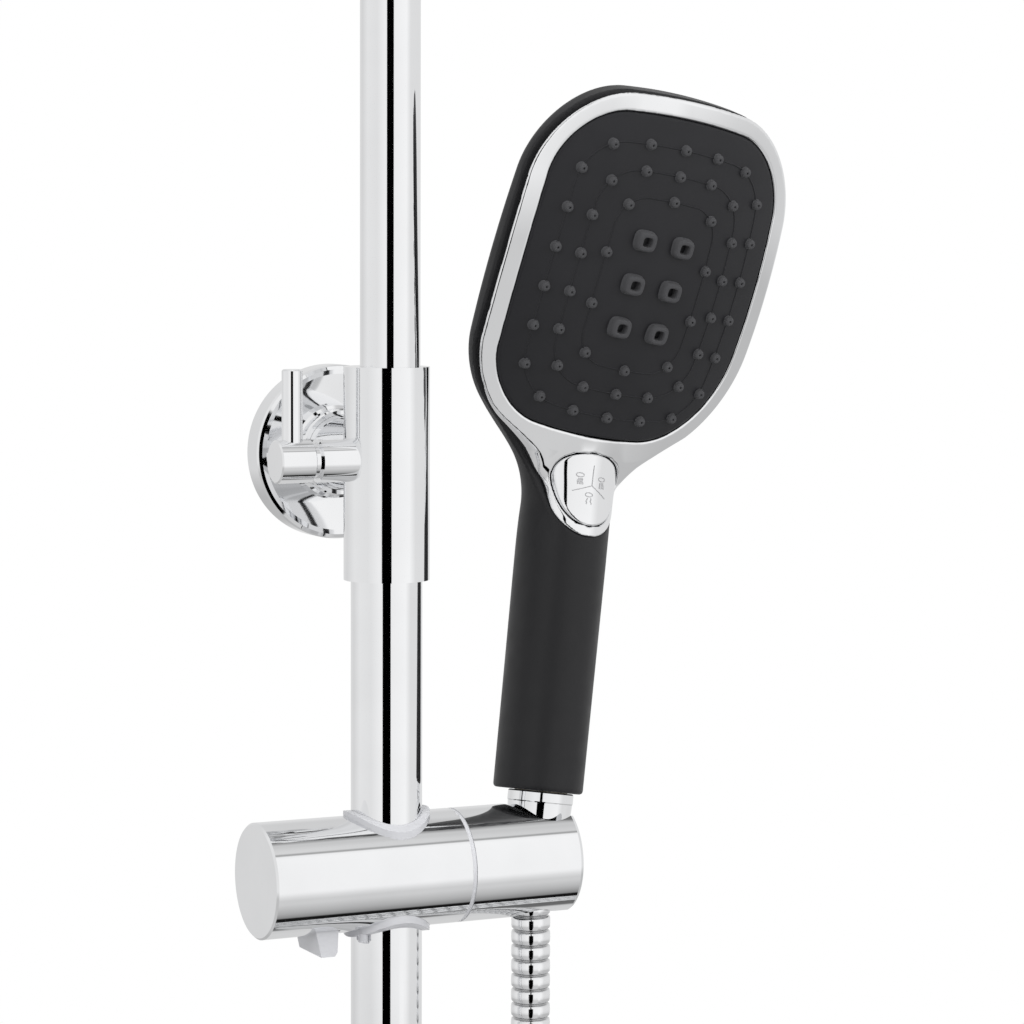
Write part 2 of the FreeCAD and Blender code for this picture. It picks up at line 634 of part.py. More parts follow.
def make_slider():
    right = d.slider_right
    barrel_left = d.slider_left - d.cap_thick
    barrel = cylinder("slider_barrel", d.slider_radius, barrel_left + right, shifted(LOCAL, x=-barrel_left), "X")
    tall = d.slider_radius * 2 + 2 * d.bush_rise + 4
    low = -(d.slider_radius + d.bush_rise + 2)
    half_depth = d.tab_depth * 0.5 + d.fit_gap * 6
    tab_left = d.tab_centre + d.tab_width * 0.5
    hollows = [
        cylinder("bush_hole", d.bush_radius + d.fit_gap, tall, shifted(LOCAL, z=low)),
        cylinder("clamp_space", d.cavity_radius, barrel_left - d.cavity_inner, shifted(LOCAL, x=-barrel_left), "X"),
        cylinder("shoe_hole", d.shoe_radius + 2 * d.fit_gap, barrel_left, shifted(LOCAL, x=-barrel_left), "X"),
        cylinder("bolt_hole", d.bolt_radius + d.fit_gap, right, LOCAL, "X"),
        box(
            "tab_slot", (d.tab_width + d.release_travel + 1.2, 2 * half_depth, d.slider_radius),
            shifted(LOCAL, x=-tab_left - d.release_travel - 0.6, y=-half_depth, z=-d.slider_radius - d.bush_rise),
        ),
    ]
    keep("slider_body", cut("slider", barrel, *hollows), SLIDER_PLACE)

    spigot = d.cavity_radius - d.fit_gap
    edge = 0.7
    keep("slider_end_cap", turned("end_cap", [
        (0, 0), (d.slider_radius - edge, 0), (d.slider_radius, edge), (d.slider_radius, d.cap_thick),
        (spigot, d.cap_thick), (spigot, d.cap_thick + d.cap_spigot), (spigot - 2.0, d.cap_thick + d.cap_spigot),
        (spigot - 2.0, d.cap_thick), (0, d.cap_thick),
    ], shifted(LOCAL, x=-d.slider_left), "X"), SLIDER_PLACE)

    sleeve = cylinder("bush_sleeve", d.bush_radius, tall, shifted(LOCAL, z=low))
    rim = d.slider_radius + d.bush_rise
    saddle = cylinder("bush_saddle", rim, 4 * d.bush_radius, shifted(LOCAL, x=-2 * d.bush_radius), "X")
    band = common("bush_band", sleeve, saddle)
    nub_circle = (d.bush_radius + d.column_radius) * 0.5
    nub_at = shifted(LOCAL, x=nub_circle * -0.86, y=nub_circle * -0.51, z=-rim - 1.0)
    nub = cylinder("bush_nub", d.nub_radius * 0.9, d.bush_rise + 1.4, nub_at)
    outside = fuse("bush_outside", band, nub)
    keep("slider_bush", cut(
        "bush", outside,
        cylinder("bush_bore", d.column_radius + d.fit_gap, tall + 8, shifted(LOCAL, z=low - 4)),
        cylinder("bush_window", d.shoe_radius + 2 * d.fit_gap, d.slider_radius, LOCAL, "-X"),
    ), SLIDER_PLACE)

    shoe_face = d.column_radius + 2 * d.fit_gap
    seat = d.cavity_inner + 6.0
    flange = 3.0
    stem = seat - shoe_face
    keep("clamp_shoe", turned("shoe", [
        (0, 0), (d.shoe_radius, 0), (d.shoe_radius, stem), (d.shoe_flange, stem), (d.shoe_flange, stem + flange),
        (d.shoe_radius - 1.0, stem + flange), (d.shoe_radius - 1.0, stem + 2 * flange), (0, stem + 2 * flange),
    ], shifted(LOCAL, x=-shoe_face), "-X"), SLIDER_PLACE)

    # The tab hangs in the slot, its stem reaches up to the shoe's flange.
    tab_top = d.cavity_radius + 1.5
    blade = Part.makePolygon([Vector(*corner) for corner in (
        (-tab_left.number, 0, -tab_top.number),
        (-tab_left.number + d.tab_width.number, 0, -tab_top.number),
        (-tab_left.number + d.tab_width.number - 0.2 * d.tab_taper.number, 0, -d.tab_drop.number + 1.4),
        (-tab_left.number + d.tab_width.number - 0.6 * d.tab_taper.number, 0, -d.tab_drop.number),
        (-tab_left.number + d.tab_taper.number, 0, -d.tab_drop.number),
        (-tab_left.number, 0, -tab_top.number),
    )])
    blade_solid = Part.Face(blade).extrude(Vector(0, d.tab_depth.number, 0))
    blade_solid.translate(Vector(0, -d.tab_depth.number / 2.0, 0))
    blade_item = solid("tab_blade", blade_solid)
    stem_item = box(
        "tab_stem", (flange - 0.2, d.tab_depth * 0.25, tab_top - d.shoe_flange + 0.5),
        shifted(LOCAL, x=-seat - flange + 0.1, y=d.tab_depth * -0.125, z=-tab_top - 0.5),
    )
    keep("release_tab", fuse("tab", blade_item, stem_item), SLIDER_PLACE)

    # Clamp spring between the end cap and the shoe's flange
    wire = d.spring_wire.number
    seat_x = -(seat + flange).number - 2 * d.fit_gap.number - wire
    cap_x = -barrel_left.number + 2 * d.fit_gap.number + wire
    turns = int(d.spring_turns.number)
    points, tangents = helix(d.spring_radius.number, (seat_x - cap_x) / turns, turns, 4)
    spring = swept(biarcs(points, tangents), wire)
    print("shoe_spring least gap to itself %.2f" % ((seat_x - cap_x) / turns - 2 * wire))
    spring_item = solid("spring", spring)
    spring_item.Placement = Placement(Vector(cap_x, 0, 0), TURNS["X"])
    keep("shoe_spring", spring_item, SLIDER_PLACE)

    keep("friction_washer", ring(
        "tilt_washer", d.bolt_radius + d.fit_gap, d.slider_radius - 0.2, d.washer_gap, shifted(LOCAL, x=right), "X",
    ), SLIDER_PLACE)
    shoulder = right + d.bolt_seat
    head_face = shoulder + d.wave_thick + d.fit_gap
    keep("wave_washer", ring(
        "bolt_washer", d.bolt_radius + d.fit_gap, d.bolt_head, d.wave_thick,
        shifted(LOCAL, x=shoulder + d.fit_gap), "X",
    ), SLIDER_PLACE)
    bolt_start = d.bush_radius + 0.6
    bolt_reach = head_face - bolt_start
    head = 4.6
    socket = 3.0
    keep("pivot_bolt", turned("bolt", [
        (0, 0), (d.bolt_radius, 0), (d.bolt_radius, bolt_reach), (d.bolt_head, bolt_reach),
        (d.bolt_head, bolt_reach + head), (socket, bolt_reach + head), (socket, bolt_reach + head - socket),
        (0, bolt_reach + head - socket),
    ], shifted(LOCAL, x=bolt_start), "X"), SLIDER_PLACE)


def make_holder():
    """The tilting half: a cone seat for the nut that opens to the right for the hose."""
    start = d.slider_right + d.washer_gap + d.fit_gap
    length = d.holder_end - start
    radius = d.slider_radius
    bolt = d.bolt_radius + d.fit_gap
    block = turned("holder_block", [
        (bolt, 0), (radius, 0), (radius, length - 1.6), (radius - 0.5, length - 0.5), (radius - 1.6, length),
        (bolt, length),
    ], shifted(LOCAL, x=start), "X")
    shoulder = d.slider_right + d.bolt_seat
    recess = cylinder(
        "bolt_recess", d.bolt_head + 0.4, d.bore_centre - shoulder, shifted(LOCAL, x=shoulder), "X",
    )
    margin = 8.0
    slope = (d.nut_top_radius.number - d.nut_foot_radius.number) / (d.nut_top.number + d.nut_foot.number)
    seat = cone(
        "nut_seat", d.nut_foot_radius + d.nut_gap - margin * slope, d.nut_top_radius + d.nut_gap + margin * slope,
        d.nut_top + d.nut_foot + 2 * margin, shifted(LOCAL, z=-d.nut_foot - margin),
    )
    seat.Placement = BORE.multiply(seat.Placement)
    reach = 3 * d.slider_radius.number
    slot = box(
        "hose_slot", (d.holder_end - d.bore_centre + margin, d.slot_width, 3 * d.slider_radius),
        shifted(LOCAL, y=d.slot_width * -0.5, z=d.slider_radius * -1.5),
    )
    slot.Placement = BORE.multiply(slot.Placement)
    mouth = cylinder("nut_mouth", d.mouth_radius, 2 * d.slider_radius, shifted(LOCAL, z=d.mouth_floor))
    mouth.Placement = BORE.multiply(mouth.Placement)
    keep("holder", cut("holder_cut", block, recess, seat, slot, mouth), TILT_PLACE)


# Hose

def hose_line():
    """The hose's hanging line: straight down out of the view to the coil's left side."""
    ferrule_end = NUT_PLACE.multVec(Vector(0, 0, -(d.nut_foot.number - 4.5)))
    top = ferrule_end - Vector(0, 0, 1.5)
    return [top, Vector(top.x, top.y, 2 * d.hose_radius.number - d.coil_centre.number)]


def along(edges, distance):
    """Point and direction at a distance along a chain of edges."""
    for edge in edges:
        if distance <= edge.Length + 1e-9:
            break
        distance -= edge.Length
    parameter = edge.getParameterByLength(min(distance, edge.Length))
    return edge.valueAt(parameter), edge.tangentAt(parameter).normalize()


def ribbed(edges, outer, groove, pitch, bore):
    """A hose with ribs: a ruled loft through four circles for each rib, less its bore."""
    length = sum(edge.Length for edge in edges)
    straight = 2.0 * outer
    ribs = int((length - 2.0 * straight) / pitch)
    step = (length - 2.0 * straight) / ribs
    stations = [(0.0, outer - groove)]
    for index in range(ribs):
        start = straight + index * step
        stations += [
            (start + 0.10 * step, outer - groove), (start + 0.25 * step, outer),
            (start + 0.75 * step, outer), (start + 0.90 * step, outer - groove),
        ]
    stations.append((length, outer - groove))
    def wire(distance, radius):
        centre, direction = along(edges, distance)
        side = Vector(0, 1, 0)
        side = (side - direction * side.dot(direction)).normalize()
        axes = FreeCAD.Placement(centre, Rotation(side, direction.cross(side), direction, "ZXY"))
        circle = Part.Circle(Vector(), Vector(0, 0, 1), radius).toShape()
        circle.Placement = axes
        return Part.Wire(circle)
    skin = Part.makeLoft([wire(*station) for station in stations], True, True)
    inside = [wire(distance, bore) for distance, radius in stations[:-1:4] + [stations[-1]]]
    core = Part.makeLoft(inside, True, True)
    print("hose_drop %d ribs, length %.0f" % (ribs, length))
    return skin.cut(core)


def make_hose():
    top_shoulder = d.nut_shoulder
    keep("hose_ferrule", turned("top_ferrule", [
        (d.outlet_bore, 0), (d.ferrule_radius, 0), (d.ferrule_radius, d.nut_foot - 4.5),
        (d.ferrule_radius + 0.5, d.nut_foot - 4.5), (d.ferrule_radius + 0.5, d.nut_foot - 4.6 + top_shoulder),
        (d.outlet_bore, d.nut_foot - 4.6 + top_shoulder),
    ], shifted(LOCAL, z=4.5 - d.nut_foot)), NUT_PLACE)

    line = hose_line()
    edges = [Part.LineSegment(*line).toShape()]
    radius = d.hose_radius.number
    drop = ribbed(edges, radius, d.hose_groove.number, d.rib_pitch.number, d.hose_bore.number)
    length = sum(edge.Length for edge in edges)
    section = math.pi * ((radius - 0.35 * d.hose_groove.number) ** 2 - d.hose_bore.number ** 2)
    print("hose_drop volume %.0f, mean section times length %.0f" % (drop.Volume, section * length))
    keep("hose_drop", solid("drop", drop))

    # The coil hangs below the hose: its turns go down the left side first and step forward.
    low = -d.coil_centre.number
    centre = Vector(line[-1].x + d.coil_radius.number, line[-1].y, low)
    turns = int(d.coil_turns.number)
    steps = 4
    points = [line[-1]]
    tangents = [Vector(0, 0, -1)]
    for index in range(turns * steps + 1):
        angle = 2.0 * math.pi * index / steps
        forward = d.coil_pitch.number * index / steps
        points.append(centre + Vector(
            -d.coil_radius.number * math.cos(angle), -forward, -d.coil_radius.number * math.sin(angle),
        ))
        slope = Vector(
            d.coil_radius.number * math.sin(angle), -d.coil_pitch.number / (2.0 * math.pi),
            -d.coil_radius.number * math.cos(angle),
        )
        tangents.append(slope.normalize())
    tangents[1] = Vector(0, 0, -1)
    tangents[-1] = Vector(0, 0, -1)
    points.append(points[-1] - Vector(0, 0, d.tail_length.number))
    tangents.append(Vector(0, 0, -1))
    coil_edges = biarcs(points, tangents)
    coil = swept(coil_edges, radius).cut(swept(coil_edges, d.hose_bore.number))
    coil_length = sum(edge.Length for edge in coil_edges)
    samples = []
    for edge in coil_edges:
        samples += edge.discretize(9)[:-1]
    coil_section = math.pi * (radius ** 2 - d.hose_bore.number ** 2)
    print("hose_coil volume %.0f, section times length %.0f" % (coil.Volume, coil_section * coil_length))
    print("hose_coil least gap to itself %.2f" % least_gap(samples, radius, 24))
    print("hose length %.0f" % (length + coil_length))
    keep("hose_coil", solid("coil", coil))

    # A strap round the three strands at the foot of the coil
    inside = radius + d.tie_gap.number
    span = d.coil_pitch.number * (turns - 1)
    first = centre + Vector(0, -d.coil_pitch.number / 4.0, -d.coil_radius.number)
    last = first - Vector(0, span, 0)
    def loop(reach):
        half = Vector(d.tie_width.number / 2.0, 0, 0)
        up = Vector(0, 0, reach)
        corners = [first - half + up, last - half + up, last - half - up, first - half - up]
        sides = [
            Part.LineSegment(corners[0], corners[1]).toShape(),
            Part.Arc(corners[1], last - half - Vector(0, reach, 0), corners[2]).toShape(),
            Part.LineSegment(corners[2], corners[3]).toShape(),
            Part.Arc(corners[3], first - half + Vector(0, reach, 0), corners[0]).toShape(),
        ]
        return Part.Face(Part.Wire(sides)).extrude(half * 2.0)
    keep("hose_tie", solid("tie", loop(inside + d.tie_thick.number).cut(loop(inside))))

    end = points[-1]
    foot = (end.x, end.y, end.z)
    gap = d.fit_gap
    keep("end_ferrule", turned("far_ferrule", [
        (d.outlet_bore, 0), (d.ferrule_radius, 0), (d.ferrule_radius, d.ferrule_length),
        (d.ferrule_radius + 1.2, d.ferrule_length), (d.ferrule_radius + 1.2, d.ferrule_length + 2.5),
        (d.outlet_bore, d.ferrule_length + 2.5),
    ], foot, "-Z"))
    nut_foot = (end.x, end.y, end.z - d.ferrule_length.number + 3.0)
    flats = d.end_nut_flats.number / 2.0
    corner = flats / math.cos(math.pi / 6.0)
    six = [Vector(corner * math.cos(math.pi * k / 3.0), corner * math.sin(math.pi * k / 3.0), 0) for k in range(7)]
    prism = solid("nut_prism", Part.Face(Part.makePolygon(six)).extrude(Vector(0, 0, d.end_nut_length.number)))
    floor = 2.9
    thread_floor = floor + 0.1 + 2.5 + d.washer_thick
    round_edge = turned("nut_round", [
        (d.ferrule_radius + 0.2, 0), (flats, 0), (corner, 1.4), (corner, d.end_nut_length - 1.4),
        (flats, d.end_nut_length), (d.thread_radius, d.end_nut_length), (d.thread_radius, thread_floor),
        (d.washer_radius + gap, thread_floor), (d.washer_radius + gap, floor), (d.ferrule_radius + 0.2, floor),
    ], LOCAL)
    keep("end_nut", common("far_nut", prism, round_edge), Placement(Vector(*nut_foot), TURNS["-Z"]))
    washer_at = (end.x, end.y, end.z - d.ferrule_length.number - 2.5 - gap.number)
    keep("end_washer", ring("far_washer", d.washer_bore, d.washer_radius, d.washer_thick, washer_at, "-Z"))


# Hand shower, drawn with its nut's axis on +Z and its face to -Y

def corner_turn(half_width, half_height, side, end, corner):
    """The corner arc that is tangent to a bowed side and a bowed end: its two ends and its peak."""
    side_centre = Vector(half_width - side, 0, 0)
    end_centre = Vector(0, half_height - end, 0)
    reach_side = side - corner
    reach_end = end - corner
    between = end_centre - side_centre
    gap = between.Length
    along_line = (reach_side ** 2 - reach_end ** 2 + gap ** 2) / (2.0 * gap)
    off_line = math.sqrt(reach_side ** 2 - along_line ** 2)
    direction = Vector(between).normalize()
    across = Vector(-direction.y, direction.x, 0)
    options = [side_centre + direction * along_line + across * sign * off_line for sign in (1, -1)]
    centre = max(options, key=lambda point: point.x + point.y)
    on_side = side_centre + (centre - side_centre).normalize() * side
    on_end = end_centre + (centre - end_centre).normalize() * end
    peak = centre + ((on_side + on_end) * 0.5 - centre).normalize() * corner
    return on_side, peak, on_end


def outline(inset, corner, rise=0.0, foot_corner=None, foot_lift=0.0):
    """The head's outline in the face's plane: four bowed sides joined by tangent corner arcs."""
    half_width = d.face_half_width.number - inset
    half_height = d.face_half_height.number - inset
    side = d.side_bow.number - inset
    end = d.end_bow.number - inset
    heights = {1: half_height, -1: half_height - foot_lift}
    turns = {
        1: corner_turn(half_width, half_height, side, end, corner),
        -1: corner_turn(half_width, half_height - foot_lift, side, end, foot_corner or corner),
    }
    def flip(point, x, y):
        return Vector(point.x * x, point.y * y + rise, 0)
    arcs = []
    for y in (1, -1):
        on_side, peak, on_end = turns[y]
        arcs.append([flip(on_end, 1, y), Vector(0, heights[y] * y + rise, 0), flip(on_end, -1, y)])
        for x in (1, -1):
            arcs.append([flip(on_side, x, y), flip(peak, x, y), flip(on_end, x, y)])
    for x in (1, -1):
        arcs.append([flip(turns[-1][0], x, -1), Vector(half_width * x, rise, 0), flip(turns[1][0], x, 1)])
    return Part.Wire(Part.__sortEdges__([Part.Arc(*arc).toShape() for arc in arcs]))


def head_wire(inset, depth):
    """The outline at a depth behind the face's centre, in the hand shower's frame."""
    lift = d.foot_lift.number * max(0.0, -inset) / d.bezel_width.number
    wire = outline(
        inset, d.corner_radius.number - inset, d.face_rise.number, d.foot_corner.number - inset, lift,
    )
    wire.Placement = FACE.multiply(Placement(Vector(0, 0, -depth), Rotation()))
    return wire


def head_prism(inset, low, high):
    """The outline carried from one depth to another."""
    lift = FACE.Rotation.multVec(Vector(0, 0, low - high))
    return Part.Face(head_wire(inset, low)).extrude(lift)


def dome(depth):
    """The barrel that gives the face its bulge, at a depth under the face."""
    across = d.dome_across.number
    bulge = d.dome_along.number
    half = 90.0
    drop = bulge - math.sqrt(bulge ** 2 - half ** 2)
    top = Vector(across - depth - drop, half, 0)
    low = Vector(across - depth - drop, -half, 0)
    arc = Part.Arc(low, Vector(across - depth, 0, 0), top).toShape()
    sides = [
        arc,
        Part.LineSegment(top, Vector(0, half, 0)).toShape(),
        Part.LineSegment(Vector(0, half, 0), Vector(0, -half, 0)).toShape(),
        Part.LineSegment(Vector(0, -half, 0), low).toShape(),
    ]
    half_barrel = Part.Face(Part.Wire(sides)).revolve(Vector(), Vector(0, 1, 0), 180)
    half_barrel.rotate(Vector(), Vector(0, 1, 0), -90 - 90)
    half_barrel.translate(Vector(0, d.face_rise.number, -across))
    half_barrel.Placement = FACE.multiply(half_barrel.Placement)
    return half_barrel


def dome_depth(across, up):
    """How far the face lies behind its centre at a place on it."""
    radius = d.dome_across.number
    bulge = d.dome_along.number
    here = radius - (bulge - math.sqrt(bulge ** 2 - (up - d.face_rise.number) ** 2))
    return radius - math.sqrt(here ** 2 - across ** 2)


def neck(swell):
    """Neck: a loft through evenly spaced ellipses, grown by swell all round."""
    foot = d.neck_foot.number
    radius = d.handle_radius.number + 0.4
    back = d.handle_back.number
    step = 7.0
    stations = [
        (0.0, 0.0, 0.0), (0.0, 0.0, 0.0), (0.1, -0.2, -0.1), (0.3, -0.7, -0.4), (0.9, -1.6, -0.9),
        (2.6, -2.7, -1.6), (7.4, -3.4, -2.4), (15.0, -2.7, -4.6), (24.0, -2.1, -7.2),
    ]
    wires = []
    for index, (wider, deeper, behind) in enumerate(stations):
        wide = Vector(radius + wider + swell, 0, 0)
        deep = Vector(0, radius + deeper + swell, 0)
        if wider == deeper:
            edge = Part.Circle(Vector(), Vector(0, 0, 1), wide.x).toShape()
        else:
            edge = Part.Ellipse(wide, deep, Vector()).toShape()
        edge.translate(Vector(0, back + behind, foot + index * step))
        wires.append(Part.Wire(edge))
    return Part.makeLoft(wires, True, False)


def front_prism(points, grow=0.0):
    """A smooth closed outline on the handle's front, carried through its front half."""
    middle_up = sum(up for across, up in points) / len(points)
    widest = max(across for across, up in points)
    scale = 1.0 + grow / widest
    centre = d.face_up.number + middle_up
    right = [Vector(across * scale, -60.0, centre + (up - middle_up) * scale) for across, up in points]
    left = [Vector(-point.x, point.y, point.z) for point in reversed(right) if point.x > 1e-6]
    curve = Part.BSplineCurve()
    curve.interpolate(right + left, PeriodicFlag=True)
    return Part.Face(Part.Wire(curve.toShape())).extrude(Vector(0, 60.0, 0))


# Half outlines on the handle's front: across, and along the nut's axis from the face's centre
BUTTON_OUTLINE = [(0, -83.2), (7.4, -80.6), (11.9, -73.5), (13.8, -65.5), (9.8, -59.0), (0, -57.3)]
TONGUE_OUTLINE = [
    (0, -87.4), (9.0, -84.4), (13.6, -78.7), (15.6, -73.0), (17.6, -66.5), (21.2, -60.5), (27.0, -55.0), (0, -45.0),
]


def make_inlet():
    outer_top = d.nut_top
    step = 1.2
    lip = d.nut_foot - 4.0
    base = shifted(LOCAL, z=-d.nut_foot)
    shoulder = d.nut_foot + d.nut_shoulder
    total = d.nut_foot + d.nut_top
    inner = d.ferrule_radius + 0.65
    mouth = d.hose_radius + 1.7
    keep("cone_nut", turned("nut", [
        (mouth, 0), (d.nut_foot_radius - 0.6, 0), (d.nut_foot_radius, 0.6), (d.nut_top_radius - 0.2, total - 4.0),
        (d.nut_top_radius, total - 3.6), (d.nut_top_radius, total - 0.5), (d.nut_top_radius - 0.5, total),
        (d.nut_thread, total), (d.nut_thread, shoulder), (inner, shoulder), (inner, 3.0), (mouth, 3.0),
    ], base), HANDSET_PLACE)
    keep("nut_gasket", ring(
        "gasket", d.washer_bore, d.nut_thread - 2 * d.fit_gap, d.washer_thick, shifted(LOCAL, z=d.nut_shoulder),
    ), HANDSET_PLACE)
    start = d.nut_shoulder + d.washer_thick + d.fit_gap
    seat = d.handle_foot + 0.3
    keep("handset_inlet", turned("inlet", [
        (d.outlet_bore, start), (d.nut_thread - d.fit_gap, start), (d.nut_thread - d.fit_gap, seat),
        (d.inlet_radius, seat), (d.inlet_radius, d.inlet_top), (d.outlet_bore, d.inlet_top),
    ], LOCAL), HANDSET_PLACE)
    keep("water_tube", ring(
        "handle_tube", d.tube_radius - d.tube_wall, d.tube_radius, d.water_tube_top - d.inlet_top,
        shifted(LOCAL, y=d.tube_back, z=d.inlet_top),
    ), HANDSET_PLACE)


def head_back():
    """The head's outside: a loft of outlines, straight at the rim and round towards the back."""
    front = d.shell_front.number
    step = -(d.bezel_width.number + d.shell_step.number)
    rim = d.shell_rim.number
    deep = d.shell_back.number - front - rim
    sections = [(step + 0.3, front)]
    for angle in (0, 30, 50, 65, 78):
        turn = math.radians(angle)
        sections.append((step + d.back_edge.number * (1 - math.cos(turn)), front + rim + deep * math.sin(turn)))
    return Part.makeLoft([head_wire(*section) for section in sections], True, False)


def make_shell():
    """Moulded housing: handle, neck and dished back in one, hollow for the water way and the spray head."""
    front = d.shell_front.number
    step = -(d.bezel_width.number + d.shell_step.number)
    dish = solid("shell_dish", head_back())
    throat = solid("shell_neck", neck(0.0))
    edge = 0.8
    foot = d.handle_foot
    grip = turned("shell_grip", [
        (0, foot), (d.handle_radius - edge, foot), (d.handle_radius, foot + edge),
        (d.handle_radius + 0.4, d.neck_foot), (0, d.neck_foot),
    ], (0, d.handle_back, 0))
    outside = fuse("shell_outside", dish, grip, throat)
    pocket = solid("head_pocket", head_prism(-d.plate_gap.number, d.chamber_back.number, -40.0))
    clearance = solid("bezel_space", head_prism(step - 0.2, front, -60.0))
    button_hole = front_prism(BUTTON_OUTLINE, d.button_gap.number)
    deeper = d.button_depth.number + d.button_travel.number + 0.3
    well = solid("button_well", button_hole.common(neck(4.0)).cut(neck(-deeper)))
    wide = cylinder("wide_bore", d.inlet_radius + d.fit_gap, d.wide_bore_top, LOCAL)
    narrow = cylinder("narrow_bore", d.tube_radius + d.fit_gap, d.water_tube_top + 12, shifted(LOCAL, y=d.tube_back))
    keep("handset_shell", cut("shell", outside, pocket, clearance, well, wide, narrow), HANDSET_PLACE)


def make_bezel():
    """Chrome frame round the face, with a tongue down the handle that holds the button."""
    front = d.shell_front.number
    outer = head_prism(-d.bezel_width.number, front, -20.0)
    inner = head_prism(-d.plate_gap.number, front + 1.0, -21.0)
    frame = outer.cut(inner).common(dome(-d.bezel_proud.number))
    face_space = head_prism(-d.plate_gap.number, d.chamber_back.number, -40.0)
    grown = neck(d.tongue_thick.number)
    tongue = front_prism(TONGUE_OUTLINE).common(grown).cut(neck(0.02))
    tongue = tongue.cut(head_back()).cut(inner)
    hole = front_prism(BUTTON_OUTLINE, d.button_gap.number)
    whole = frame.fuse(tongue).cut(hole.common(neck(4.0)).cut(neck(-6.0)))
    keep("handset_bezel", solid("bezel", whole.removeSplitter()), HANDSET_PLACE)


def make_button():
    cap = front_prism(BUTTON_OUTLINE).common(neck(d.button_rise.number)).cut(neck(-d.button_depth.number))
    keep("mode_button", solid("button", cap), HANDSET_PLACE)


def loop_places(inset, corner, count):
    """Evenly spaced places along a loop parallel to the outline, from the top."""
    wire = outline(inset, corner, d.face_rise.number)
    edges = wire.OrderedEdges
    length = sum(edge.Length for edge in edges)
    top = Vector(0, d.face_half_height.number - inset + d.face_rise.number, 0)
    marks = [along(edges, length * share / 2000.0)[0] for share in range(2000)]
    start = min(range(2000), key=lambda index: (marks[index] - top).Length)
    return [marks[(start + int(round(2000.0 * index / count))) % 2000] for index in range(count)]


def make_face():
    """Domed face plate with the spray nozzles, and the chamber behind it."""
    thick = d.plate_thick.number
    loops = [(9.6, 19.0, 22), (18.9, 16.0, 18), (28.0, 12.0, 10)]
    places = [place for loop in loops for place in loop_places(*loop)]
    normal = Vector(0, 0, 1)
    holes = []
    nozzles = []
    rise = d.nozzle_rise.number
    radius = d.nozzle_radius.number
    for place in places:
        level = -dome_depth(place.x, place.y)
        foot = Vector(place.x, place.y, level - thick + 0.7)
        shaft = thick - 0.7
        holes.append(Part.makeCylinder(radius + d.fit_gap.number, 2 * thick + 4, foot - normal * thick, normal))
        lower = Part.makeCylinder(radius, shaft, foot, normal)
        upper = Part.makeCone(radius, d.nozzle_tip.number, rise, foot + normal * shaft, normal)
        nozzles.append(lower.fuse(upper).removeSplitter())
    jets = []
    wide = d.jet_width.number
    tall = d.jet_height.number
    gap = d.fit_gap.number
    for column in (-0.5, 0.5):
        for row in (-1, 0, 1):
            middle = Vector(column * d.jet_pitch.number, row * d.jet_pitch.number + d.face_rise.number, 0)
            level = -dome_depth(middle.x, middle.y)
            low = level - thick + 0.5
            def block(grow, bottom, height):
                corner = middle + Vector(-wide / 2 - grow, -tall / 2 - grow, bottom)
                shape = Part.makeBox(wide + 2 * grow, tall + 2 * grow, height, corner)
                upright = [edge for edge in shape.Edges if abs(edge.tangentAt(0).z) > 0.9]
                return shape.makeFillet(2.6 + grow, upright)
            jet = block(0.0, low, thick - 0.5 + d.jet_rise.number)
            crown = [edge for edge in jet.Edges if abs(edge.BoundBox.ZMin - jet.BoundBox.ZMax) < 1e-6]
            jet = jet.makeChamfer(0.8, crown)
            bore = Part.makeCylinder(d.jet_bore.number, 20, middle + Vector(0, 0, low - 1), normal)
            jets.append(jet.cut(bore))
            holes.append(block(gap, low - thick, 2 * thick + 4))
    def seat(shape):
        shape.Placement = FACE.multiply(shape.Placement)
        return shape
    blank = head_prism(0.0, d.shell_front.number + 2.0, -20.0).common(dome(0.0)).cut(dome(thick))
    plate = blank.cut(seat(Part.makeCompound(holes)))
    keep("face_plate", solid("plate", plate), HANDSET_PLACE)
    keep("spray_nozzles", solid("nozzles", seat(Part.makeCompound(nozzles))), HANDSET_PLACE)
    keep("jet_nozzles", solid("jets", seat(Part.makeCompound(jets))), HANDSET_PLACE)

    floor = d.chamber_back.number - d.plate_gap.number
    wall = d.chamber_wall.number
    body = head_prism(0.1, floor, -20.0).common(dome(thick + d.plate_gap.number))
    inside = head_prism(0.1 + wall, floor - wall, -20.0).common(dome(thick + d.plate_gap.number + wall))
    way_in = Vector(0, d.tube_back.number, d.water_tube_top.number - 28.0)
    inlet = Part.makeCylinder(d.tube_radius.number - d.tube_wall.number, 60, way_in)
    keep("spray_chamber", solid("chamber", body.cut(inside).cut(inlet)), HANDSET_PLACE)


make_tee()
make_tubes()
make_rosette()
make_diverter()
make_slider()
make_holder()
make_hose()
make_inlet()
make_shell()
make_bezel()
make_button()
make_face()
doc.recompute()

for item in doc.Objects:
    if "Invalid" in item.State or "Error" in item.State:
        raise RuntimeError("failed: %s %s" % (item.Name, item.State))
for item in finished:
    if item.Shape.isNull() or not item.Shape.isValid():
        raise RuntimeError("bad shape: %s" % item.Label)

os.makedirs("parts", exist_ok=True)
for item in finished:
    item.Shape.exportStep("parts/%s.step" % item.Label)
print("wrote %d parts" % len(finished))
